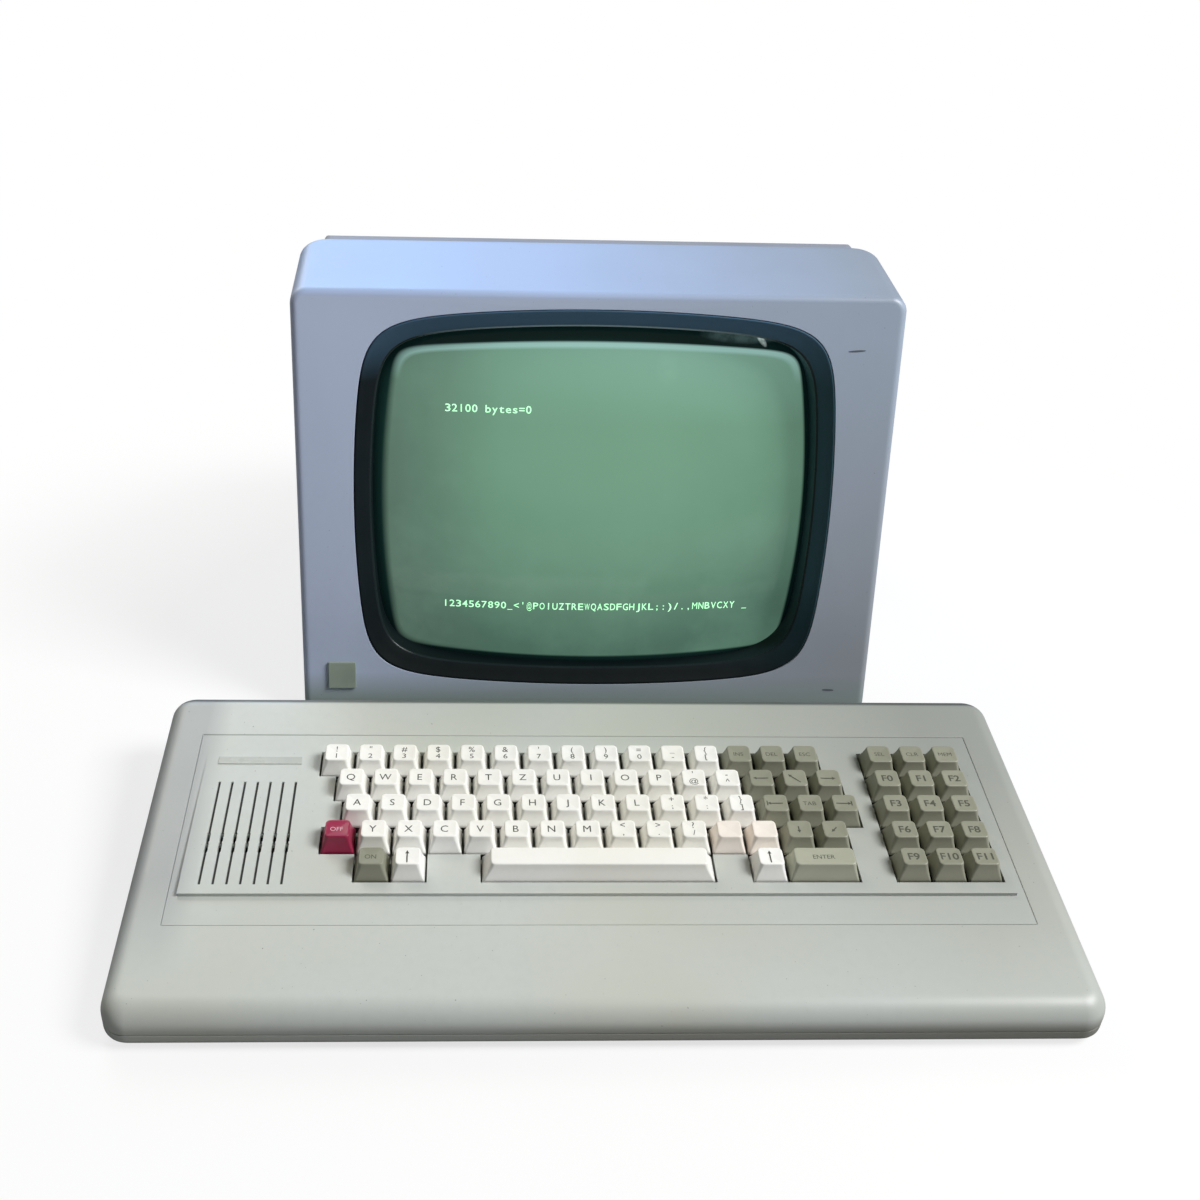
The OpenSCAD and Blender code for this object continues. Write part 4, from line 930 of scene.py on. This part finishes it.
# %% Letters, digits and pad words
LETTER, SIGN, WORD, PAD = 6.4 * MM, 5.5 * MM, 4.0 * MM, 6.3 * MM
LETTER_LEFT, SIGN_LEFT = 0.4 * MM, 0.2 * MM
LOWER_SIGN, UPPER_SIGN = -2.6 * MM, 2.7 * MM
PAD_BOLD, PAD_STRETCH = 0.12 * MM, 1.1
row_signs = {
    "number_keys": ["1!", "2\"", "3#", "4$", "5%", "6&", "7'", "8(", "9)", "0=", "-_", "[{"],
    "upper_letter_keys": list("QWERTZUIOP") + ["@'", "^-"],
    "home_letter_keys": list("ASDFGHJKL") + [";+", ":*", "]}"],
    "lower_letter_keys": list("YXCVBNM") + [",<", ".>", "/?"],
}
for node, signs in row_signs.items():
    bm = bmesh.new()
    for sign, (column, row, _) in zip(signs, caps[node]):
        if len(sign) == 1:
            print_on(bm, text_mesh(sign, LETTER), column, row, -LETTER_LEFT)
        else:
            for mark, dy in zip(sign, (LOWER_SIGN, UPPER_SIGN)):
                print_on(bm, text_mesh(mark, SIGN), column, row, -SIGN_LEFT, dy)
    add_legends(node, bm, "_legends")

pad_words = ["SEL", "CLR", "MEM"] + [f"F{k}" for k in range(12)]
bm = bmesh.new()
for word, (column, row, _) in zip(pad_words, caps["function_keys"]):
    look = (WORD,) if row == 1 else (PAD, PAD_BOLD, PAD_STRETCH)
    print_on(bm, text_mesh(word, *look), column, row)
add_legends("function_keys", bm, "_legends")
print("signs on", len(row_signs), "rows and", len(pad_words), "pad keys")

# %% Words and arrows of the single keys
UP_ARROW, LONG_ARROW, SHORT_ARROW = 8.2 * MM, 8.6 * MM, 4.6 * MM
SINGLE_DOWN = 0.3 * MM
single_signs = {
    "red_key": "OFF", "stop_key": "ON",
    "left_shift_key": (90, UP_ARROW), "right_shift_key": (90, UP_ARROW),
    "return_key": "ENTER", "grey_key_1a": "INS", "grey_key_1b": "DEL", "grey_key_1c": "ESC",
    "grey_key_2a": (180, LONG_ARROW), "grey_key_2b": (135, LONG_ARROW),
    "grey_key_2c": (0, LONG_ARROW), "grey_key_3a": (180, LONG_ARROW, 1),
    "grey_key_3b": "TAB", "grey_key_3c": (0, LONG_ARROW, 1),
    "grey_key_4a": (-90, SHORT_ARROW), "grey_key_4b": (225, SHORT_ARROW),
}
for node, sign in single_signs.items():
    bm = bmesh.new()
    column, row, units = caps[node][0]
    shape = text_mesh(sign, WORD) if isinstance(sign, str) else arrow(*sign)
    print_on(bm, shape, column, row, -LETTER_LEFT, -SINGLE_DOWN, units)
    add_legends(node, bm)
print("words or arrows on", len(single_signs), "single keys")

# %% [markdown]
# ## The monitor cabinet
# The front of the monitor is a tube of plastic, cut off at a slant, so that its face leans back.
# Like most mouldings it widens a little away from the mould's mouth: the sides spread and the top
# climbs to the rear, where the upright corners are round. The screen opening is a barrel outline,
# with bowed sides and round corners, and tube and mask share that kind of curve.

# %% Sizes and the frame of the face
MONITOR_W, FACE_LEN = 365.8 * MM, 267.5 * MM
SIDE_FLARE, TOP_RISE = math.radians(1.2), math.radians(3)
PLUG_GAP = 42 * MM
SCREEN_UP = 138.4 * MM
MASK_W, MASK_H = 296.4 * MM, 238 * MM
BARREL, SIDE_BOW, TOP_BOW, CORNER_CROWD = 9.5, 0.059, 0.077, 0.14
face_up = Vector((0, math.sin(FACE_LEAN), math.cos(FACE_LEAN)))
face_out = Vector((0, -math.cos(FACE_LEAN), math.sin(FACE_LEAN)))
monitor_x = (cabinet_low[0] + cabinet_high[0]) / 2
face_foot = Vector((monitor_x, rear_y + PLUG_GAP, cabinet_low[2]))
cabinet_d = cabinet_high[1] - face_foot.y
face_frame = Matrix.Translation(face_foot + face_up * SCREEN_UP) @ Matrix(
    ((1, face_up.x, face_out.x), (0, face_up.y, face_out.y), (0, face_up.z, face_out.z))
).to_4x4()


def in_face(points):
    """Takes points from the face's own frame to the table's."""
    return [face_frame @ p for p in points]


def even_turns(steps=200):
    return [2 * math.pi * (k + 0.5) / steps for k in range(steps)]


def barrel(w, h, z=0.0):
    """The screen's outline: bowed sides and round corners, in the face's own frame."""
    ring = []
    for even in even_turns():
        turn = even + CORNER_CROWD * math.sin(4 * even)
        c, s = math.cos(turn), math.sin(turn)
        reach = (abs(c) ** BARREL + abs(s) ** BARREL) ** (-1 / BARREL)
        x, y = c * reach, s * reach
        ring.append(Vector((w / 2 * x * (1 - SIDE_BOW * y * y),
                            h / 2 * y * (1 - TOP_BOW * x * x), z)))
    return ring


print("face", round(MONITOR_W / MM), "x", round(FACE_LEN / MM), "mm, cabinet",
      round(cabinet_d / MM), "mm deep")

# %% Rings of the cabinet
CABINET_R, CABINET_LOW_R, REAR_CORNER_R = 10 * MM, 6.4 * MM, 12 * MM
FACE_SIDE_R, FACE_TOP_R = 4.5 * MM, 3.6 * MM
REAR_LIP, REAR_DROP, FACE_EDGE = 3 * MM, 1.2 * MM, 1 * MM


def half_at(back):
    return MONITOR_W / 2 + back * math.tan(SIDE_FLARE)


def face_ring(inset, back, extra=0.0):
    """A ring in the leaning face, or with back above 0 on the round edge behind it."""
    ring = []
    for point, inward in round_rectangle(-MONITOR_W / 2, MONITOR_W / 2, 0, FACE_LEN, CABINET_R, 10,
                                         CABINET_LOW_R):
        edge = FACE_SIDE_R * inward.x ** 2 + FACE_TOP_R * inward.y ** 2
        at = point + inward * (edge * inset + extra)
        wide = half_at(at.y * math.sin(FACE_LEAN)) / half_at(0)
        ring.append(face_foot + Vector((at.x * wide, 0, 0)) + face_up * at.y
                    + Vector((0, edge * back, 0)))
    return ring


def upright_ring(back, inset=0.0, drop=0.0):
    """A ring in an upright plane, at a distance behind the foot of the face."""
    half = half_at(back) - inset
    climb = (back - FACE_LEN * math.sin(FACE_LEAN)) * math.tan(TOP_RISE)
    high = FACE_LEN * math.cos(FACE_LEAN) + climb - drop
    return [face_foot + Vector((p.x, back, p.y)) for p, _ in
            round_rectangle(-half, half, drop, high, CABINET_R, 10, CABINET_LOW_R)]


rings = [upright_ring(cabinet_d, REAR_CORNER_R + REAR_LIP, REAR_LIP)]
for inset, drop in reversed(list(quarter(8))):
    rings.append(upright_ring(cabinet_d - REAR_CORNER_R * drop, REAR_CORNER_R * inset,
                              REAR_DROP * inset ** 2))
rings += [face_ring(inset, drop) for inset, drop in quarter(8)]
rings.append(face_ring(1, 0, FACE_EDGE))
print(len(rings), "rings from the rear to the face")

# %% Monitor front and rear cover
CABINET_WALL = 2.8 * MM
# The rim of the opening, in millimetres: how much wider than the mask, and how far forward.
OPENING_RIM = ((1.2, 0), (0.9, -0.25), (0.6, -0.9), (0.6, -14))
bm = bmesh.new()
shell = loft(bm, rings)
opening = loft(bm, [in_face(barrel(MASK_W + grow * MM, MASK_H + grow * MM, z * MM))
                    for grow, z in OPENING_RIM])
fill_between(bm, shell[-1], opening[0])
monitor_front = new_piece("monitor_front_shell", bm, "monitor_grey")
thicken(monitor_front, CABINET_WALL)
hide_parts("monitor_front")
even_normals(monitor_front)
monitor_rear = soften("monitor_rear", 0.7, "cover_grey", 3, 20)
print(len(monitor_front.data.polygons), "faces in the front,", len(monitor_rear.data.polygons),
      "in the rear cover")

# %% [markdown]
# ## Mask and screen
# A dark mask slopes inwards from the face to the glass. Behind it the glass of the tube bulges
# forward, and the phosphor coat on its inside shows as a softly glowing field with bowed edges
# that fades towards its corners. The glass gets a map that counts from its middle in steps of
# 100 mm, so that the shader can draw the field with plain arithmetic.

# %% Mask
# The profile runs inwards from the opening: how far in, and how far forward, in millimetres.
MASK_SLOPE, MASK_BAND = 5, 10
MASK_BEHIND_GLASS = 2 * MM
MASK_PROFILE = [(0, -12), (0, -0.5), (0.15, -0.15), (0.5, 0), (1.0, -0.1)]
MASK_PROFILE += [(MASK_BAND * part, -MASK_SLOPE * part) for part in (0.3, 0.6, 0.9)]
MASK_PROFILE += [(MASK_BAND - 0.3, -MASK_SLOPE - 0.1), (MASK_BAND, -MASK_SLOPE - 0.7)]
GLASS_R, GLASS_BACK = 640 * MM, 6 * MM


def glass_z(x, y):
    return -GLASS_BACK - (GLASS_R - math.sqrt(GLASS_R ** 2 - x * x - y * y))


def on_glass(points, dx=0.0, dy=0.0, lift=0.0):
    """Lays points of the face's frame on the bulge of the glass, or a little over it."""
    return in_face(Vector((p.x + dx, p.y + dy, glass_z(p.x + dx, p.y + dy) + lift))
                   for p in points)


def mask_barrel(shrink, z=0.0):
    return barrel(MASK_W - 2 * shrink * MM, MASK_H - 2 * shrink * MM, z * MM)


bm = bmesh.new()
made = loft(bm, [in_face(mask_barrel(shrink, z)) for shrink, z in MASK_PROFILE]
            + [on_glass(mask_barrel(MASK_BAND), lift=-MASK_BEHIND_GLASS)])
lip = {vert for ring in made[-4:-1] for vert in ring}
for face in bm.faces:
    face.material_index = all(vert in lip for vert in face.verts)
mask = new_piece("screen_mask_band", bm, "mask_black", more=("mask_lip",))
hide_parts("screen_mask")
even_normals(mask)
print("mask of", len(made), "rings, its lip the last three in sight")

# %% Glass and its map
GLASS_W, GLASS_H = 282.4 * MM, 223.4 * MM
TUBE_SKIRT, TUBE_FUNNEL, TUBE_LEN = -44 * MM, -137 * MM, -222 * MM
NECK_R = 14.5 * MM
GLASS_RINGS, SMALLEST_RING = 17, 0.004
FUNNEL_PARTS = (0.3, 0.6, 0.85)
SCREEN_MAP, MAP_UNIT = "from_middle", 100


def circle(radius, z=0.0):
    return [Vector((radius * math.cos(t), radius * math.sin(t), z)) for t in even_turns()]


rim = barrel(GLASS_W, GLASS_H)
rings = [on_glass(p * max(k / (GLASS_RINGS - 1), SMALLEST_RING) for p in rim)
         for k in range(GLASS_RINGS)]
rings.append(in_face(barrel(GLASS_W, GLASS_H, TUBE_SKIRT)))
for part in FUNNEL_PARTS:
    back = Vector((0, 0, TUBE_SKIRT + (TUBE_FUNNEL - TUBE_SKIRT) * part))
    rings.append(in_face(p.lerp(q, part) + back for p, q in zip(rim, circle(NECK_R))))
rings += [in_face(circle(NECK_R, z)) for z in (TUBE_FUNNEL, TUBE_LEN)]
tube = bmesh.new()
made = loft(tube, rings)
tube.faces.new(made[0])
layer = tube.loops.layers.uv.new(SCREEN_MAP)
to_face = face_frame.inverted()
for face in tube.faces:
    behind = 0
    for loop in face.loops:
        spot = to_face @ loop.vert.co
        loop[layer].uv = spot.xy / (MAP_UNIT * MM)
        behind += spot.z < glass_z(spot.x, spot.y) - MM
    face.material_index = behind > 0
print("glass bulges", round((glass_z(0, 0) - glass_z(GLASS_W / 2, 0)) / MM, 1), "mm")

# %% Outline of the glowing field
FIELD_W, FIELD_H = 266.8, 204.2
FIELD_AT = (1.8, -3.1)
FIELD_CORNER, FIELD_SIDE_BOW, FIELD_TOP_BOW = 21, 0.063, 0.072
CRISP_EDGE, BLURRED_EDGE = (0.992, 1.006), (0.972, 1.01)
LEFT_PART = (-1.0, -0.45)
g = Graph("phosphor_glass")
glass_map = g.add("ShaderNodeUVMap", uv_map=SCREEN_MAP).outputs["UV"]
split = g.add("ShaderNodeSeparateXYZ")
g.link(glass_map, split.inputs["Vector"])


def field_axis(axis, middle, full):
    """Distance from the field's middle, 1 at its edge."""
    shifted = g.sums("SUBTRACT", split.outputs[axis], middle / MAP_UNIT)
    return g.sums("DIVIDE", shifted, full / 2 / MAP_UNIT)


def straightened(value, other, bow):
    """Takes out the bow, so that the field's edge lies at 1 all along a side."""
    return g.sums("DIVIDE", value, g.sums("SUBTRACT", 1.0, g.times(g.times(other, other), bow)))


def powered(value):
    return g.sums("POWER", g.sums("ABSOLUTE", value), FIELD_CORNER)


across = field_axis("X", FIELD_AT[0], FIELD_W)
upward = field_axis("Y", FIELD_AT[1], FIELD_H)
flat_up = straightened(upward, across, FIELD_TOP_BOW)
flat_across = straightened(across, flat_up, FIELD_SIDE_BOW)
reach = g.sums("POWER", g.sums("ADD", powered(flat_across), powered(flat_up)), 1 / FIELD_CORNER)
leftness = g.ramp(across, 1, 0, *LEFT_PART)
crisp = g.ramp(reach, 1.0, 0.0, *CRISP_EDGE)
blurred = g.ramp(reach, 1.0, 0.0, *BLURRED_EDGE)
inside = g.sums("ADD", crisp, g.times(g.sums("SUBTRACT", blurred, crisp), leftness))
print("field", FIELD_W, "x", FIELD_H, "mm on a glass of", round(GLASS_W / MM, 1), "mm")

# %% Greens of the field
# Each run: its values at the start and the end, and where it starts and ends.
CORNER_FADE, LEFT_DULL, BRIGHT_UP = (0, 1, 0.1, 2.0), 0.7, 0.45
SMUDGE_SIZE, SMUDGE = 50 * MM, (0, 0.25, 0.4, 0.7)
TOP_LIGHT, TOP_LIGHT_ACROSS = (0, 1, 0.5, 1.0), (0.05, 0.45, -0.9, 0.4)
RIM_LIGHT, RIM_LIGHT_UP = (0, 1, 0.955, 0.975), (0, 0.8, 0.75, 0.95)
SCAN_LINES, SCAN_DEPTH = 60.0, 0.06
BLACKENED = 0.6
lifted = g.sums("SUBTRACT", upward, BRIGHT_UP)
green = g.mix(g.ramp(g.squares(across, lifted), *CORNER_FADE),
              srgb(118, 162, 136), srgb(82, 115, 100))
green = g.mix(g.times(leftness, LEFT_DULL), green, srgb(94, 115, 104))
smudge = g.ramp(g.noise(SMUDGE_SIZE, 4, 0.6), *SMUDGE)
green = g.mix(smudge, green, srgb(124, 168, 143))
top_light = g.times(g.ramp(upward, *TOP_LIGHT), g.ramp(across, *TOP_LIGHT_ACROSS))
green = g.mix(top_light, green, srgb(152, 198, 184))
rim_light = g.times(g.ramp(reach, *RIM_LIGHT), g.ramp(upward, *RIM_LIGHT_UP))
green = g.mix(rim_light, green, srgb(168, 212, 206))
scan = g.add("ShaderNodeTexWave", bands_direction="Y", Scale=SCAN_LINES)
g.link(glass_map, scan.inputs["Vector"])
green = g.mix(g.times(scan.outputs["Fac"], SCAN_DEPTH), green, srgb(90, 130, 106))
body = g.mix(inside, srgb(32, 64, 57), g.mix(BLACKENED, green, (0, 0, 0, 1)))
# Outside the field the glass gets a faint painted glow, which lifts it out of the mask's shadow.
glowing = g.mix(inside, srgb(4, 16, 16), green)
print("greens mixed in", len(g.tree.nodes), "nodes")

# %% Glints, and the whole glass
# Each glint: its middle and half sizes in millimetres, its turn in degrees, strength, colour.
GLINTS = {
    "haze": (88, 103, 26, 5, -3, 0.3, (120, 150, 150)),
    "streak": (110, 104, 14, 2.6, -6, 1.0, (214, 228, 232)),
    "hook": (102, 100.5, 5.5, 2.0, -52, 1.0, (206, 226, 222)),
    "soft spot": (44, 84, 8, 13, 0, 0.2, (150, 196, 172)),
}
RAGGED_SIZE, RAGGED = 6 * MM, (0.45, 1.0, 0.36, 0.54)
FIELD_GLOW, GLASS_ROUGHNESS, GLASS_SPECULAR = 0.7, 0.08, 0.4


def glint(x, y, half_w, half_h, turn):
    """A soft oval patch on the glass, 1 in its middle."""
    c, s = math.cos(math.radians(turn)), math.sin(math.radians(turn))
    dx = g.sums("SUBTRACT", split.outputs["X"], x / MAP_UNIT)
    dy = g.sums("SUBTRACT", split.outputs["Y"], y / MAP_UNIT)
    near = g.sums("ADD", g.times(dx, c), g.times(dy, s))
    off = g.sums("SUBTRACT", g.times(dy, c), g.times(dx, s))
    near = g.sums("DIVIDE", near, half_w / MAP_UNIT)
    off = g.sums("DIVIDE", off, half_h / MAP_UNIT)
    return g.ramp(g.squares(near, off), 1, 0, 0.1, 1.0)


ragged = g.ramp(g.noise(RAGGED_SIZE, 3, 0.6), *RAGGED)
for *shape, strength, tone in GLINTS.values():
    spot = g.times(g.times(glint(*shape), ragged), strength)
    glowing = g.mix(spot, glowing, srgb(*tone))
g.drive("Base Color", body)
g.drive("Emission Color", glowing)
g.constant("Emission Strength", FIELD_GLOW)
g.constant("Roughness", GLASS_ROUGHNESS)
g.constant("Specular IOR Level", GLASS_SPECULAR)
glass = new_piece("tube_with_screen", tube, "phosphor_glass", more=("tube_glass",))
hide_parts("picture_tube")
print(len(GLINTS), "glints on the glass")

# %% [markdown]
# ## What the screen shows
# The tube draws one line of start-up text and one line of typed characters with a cursor. Each
# character sits in a cell of the same width, as on the real screen, and lies on the curve of the
# glass. Its finish glows, and the glow is what makes it read as light and not as paint.

# %% Screen text
CELL, GLYPH_SIZE, GLYPH_W = 4.14 * MM, 6.6 * MM, 3.3 * MM
MOST_STRETCH, NARROW = 1.35, GLYPH_W / 3
STROKE_GAIN, CROWDED = 0.04 * MM, "@MW"
TEXT_UP = 0.15 * MM
SCREEN_LINES = {
    "32100 bytes=0": (-93 * MM, 57.6 * MM),
    "1234567890_<'@POIUZTREWQASDFGHJKL;:)/.,MNBVCXY _": (-94 * MM, -69.4 * MM),
}
glow = Graph("glow")
glow.drive("Emission Color", glow.mix(glow.ramp(glow.noise(3 * MM), 0, 0.5),
                                      srgb(170, 255, 190), srgb(225, 255, 230)))
glow.constant("Base Color", srgb(150, 230, 170))
glow.constant("Emission Strength", 1.1)
glow.constant("Roughness", 0.4)


def screen_letter(bm, letter, x, baseline):
    """Draws one letter round x; wide letters are squeezed into their cell."""
    points, faces = text_mesh(letter, GLYPH_SIZE, 0.0 if letter in CROWDED else STROKE_GAIN)
    wide = 2 * max(p.x for p in points)
    if wide > NARROW:
        squeeze = min(GLYPH_W / wide, MOST_STRETCH)
        points = [Vector((p.x * squeeze, p.y, 0)) for p in points]
    add_flat(bm, on_glass(points, x, baseline, TEXT_UP), faces)


bm = bmesh.new()
for text, (start, baseline) in SCREEN_LINES.items():
    for k, letter in enumerate(text):
        if letter != " ":
            screen_letter(bm, letter, start + CELL * (k + 0.5), baseline)
screen_text = new_piece("screen_text", bm, "glow", smooth=False)
print(sum(map(len, SCREEN_LINES)), "character cells on the screen")

# %% Scuffs on the face
# Each scuff: its middle, length and height in millimetres, and its turn in degrees.
SCUFFS = ((155.5, 97.2, 11, 1.2, 4), (158, -122.4, 8, 1.5, -2))
SCUFF_UP = 0.1
bm = bmesh.new()
for x, y, length, height, turn in SCUFFS:
    spin = Matrix.Rotation(math.radians(turn), 4, "Z")
    oval = [spin @ Vector((length / 2 * math.cos(a), height / 2 * math.sin(a), 0))
            for a in (math.tau * k / 12 for k in range(12))]
    middle = Vector((x, y, SCUFF_UP))
    add_flat(bm, in_face((p + middle) * MM for p in oval), [range(len(oval))])
new_piece("face_scuffs", bm, "scuff", smooth=False)
print(len(SCUFFS), "scuffs")

# %% [markdown]
# ## Small pieces
# Screws, feet, knobs, sockets and switches keep their CAD shape and only get a hint of a rounded
# edge, because a perfectly sharp edge never catches the light as a real one does.

# %% Small pieces
SOFT_EDGES = {
    "badge_plate": (0.4, "badge_grey"), "case_feet": (0.6, "rubber"),
    "monitor_feet": (0.6, "rubber"), "case_screws": (0.15, "zinc"),
    "monitor_screws": (0.15, "zinc"), "rear_sockets": (0.2, "black_plastic"),
    "video_inlet": (0.2, "black_plastic"), "mains_inlet": (0.25, "black_plastic"),
    "power_switch_bodies": (0.3, "black_plastic"),
}
MOVING_EDGES = {"case_power_rocker": 0.4, "monitor_power_rocker": 0.4, "brightness_knob": 0.3,
                "contrast_knob": 0.3}
for name, (width, material) in SOFT_EDGES.items():
    soften(name, width, material)
for name, width in MOVING_EDGES.items():
    soften(name, width, "black_plastic", body=name)

# %% [markdown]
# ## Floor and light
# A pale floor and three soft lamps do for a studio. A strong white one stands to the right and a
# little in front, so the right sides of the keys are bright and their shadows fall to the left. A
# blue one far behind is the window that tints the tops, and a small warm one behind at the left
# lifts the dull end. The sky is dim for the object, and white where the camera looks at it.

# %% Floor
FLOOR_NEAR, FLOOR_FAR, FLOOR_HALF = 0.3, 0.6, 8
WHITE_NEAR, UNSEEN_GREY = 0.72, 0.3
bm = bmesh.new()
bmesh.ops.create_grid(bm, x_segments=2, y_segments=2, size=FLOOR_HALF)
floor = put_mesh("floor", bm)
g = Graph("floor")
seen = g.add("ShaderNodeLightPath").outputs["Is Camera Ray"]
pale = g.mix(g.ramp(g.noise(0.4, 3), 0, 1), (0.95, 0.95, 0.95, 1), (0.92, 0.92, 0.92, 1))
g.drive("Base Color", g.mix(seen, (UNSEEN_GREY, UNSEEN_GREY, UNSEEN_GREY, 1), pale))
g.constant("Roughness", 0.9)
away = g.add("ShaderNodeVectorMath", operation="LENGTH")
g.link(g.where(), away.inputs[0])
white = g.add("ShaderNodeEmission", Color=(1, 1, 1, 1), Strength=1.0)
blend = g.add("ShaderNodeMixShader")
whiter = g.ramp(away.outputs["Value"], WHITE_NEAR, 1, FLOOR_NEAR, FLOOR_FAR)
for source, socket in zip((g.times(whiter, seen), g.shader.outputs[0], white.outputs[0]),
                          blend.inputs):
    g.link(source, socket)
g.link(blend.outputs[0], g.tree.nodes["Material Output"].inputs["Surface"])
floor.data.materials.append(g.made)
print("floor fades to white from", FLOOR_NEAR, "to", FLOOR_FAR, "m")


# %% Lamps and sky
def lamp(name, at, aim, size, power, colour=(1, 1, 1)):
    data = bpy.data.lights.new(name, "AREA")
    data.size = size
    data.energy = power
    data.color = colour
    put(name, data).matrix_world = facing(at, aim)


SKY_DIM, SKY_WHITE = 0.105, 1.0
lamp("window", (-0.7, 2.5, 1.7), (0, 0, 0.15), 1.4, 20.3, (0.27, 0.53, 1.0))
lamp("shelf", (-0.6, 0.65, 0.85), (0, 0, 0.12), 0.6, 5.1, (1.0, 0.9, 0.68))
lamp("room", (1.5, -0.5, 1.7), (0, -0.1, 0.1), 0.9, 55)
sky = Graph("sky", bpy.data.worlds, "Background")
rays = sky.add("ShaderNodeLightPath").outputs
seen = sky.sums("MAXIMUM", rays["Is Camera Ray"], rays["Is Transmission Ray"])
sky.drive("Strength", sky.ramp(seen, SKY_DIM, SKY_WHITE, 0, 1))
sky.constant("Color", (1, 1, 1, 1))
bpy.context.scene.world = sky.made
bpy.context.scene.view_settings.view_transform = "Standard"
print("three lamps and the sky")
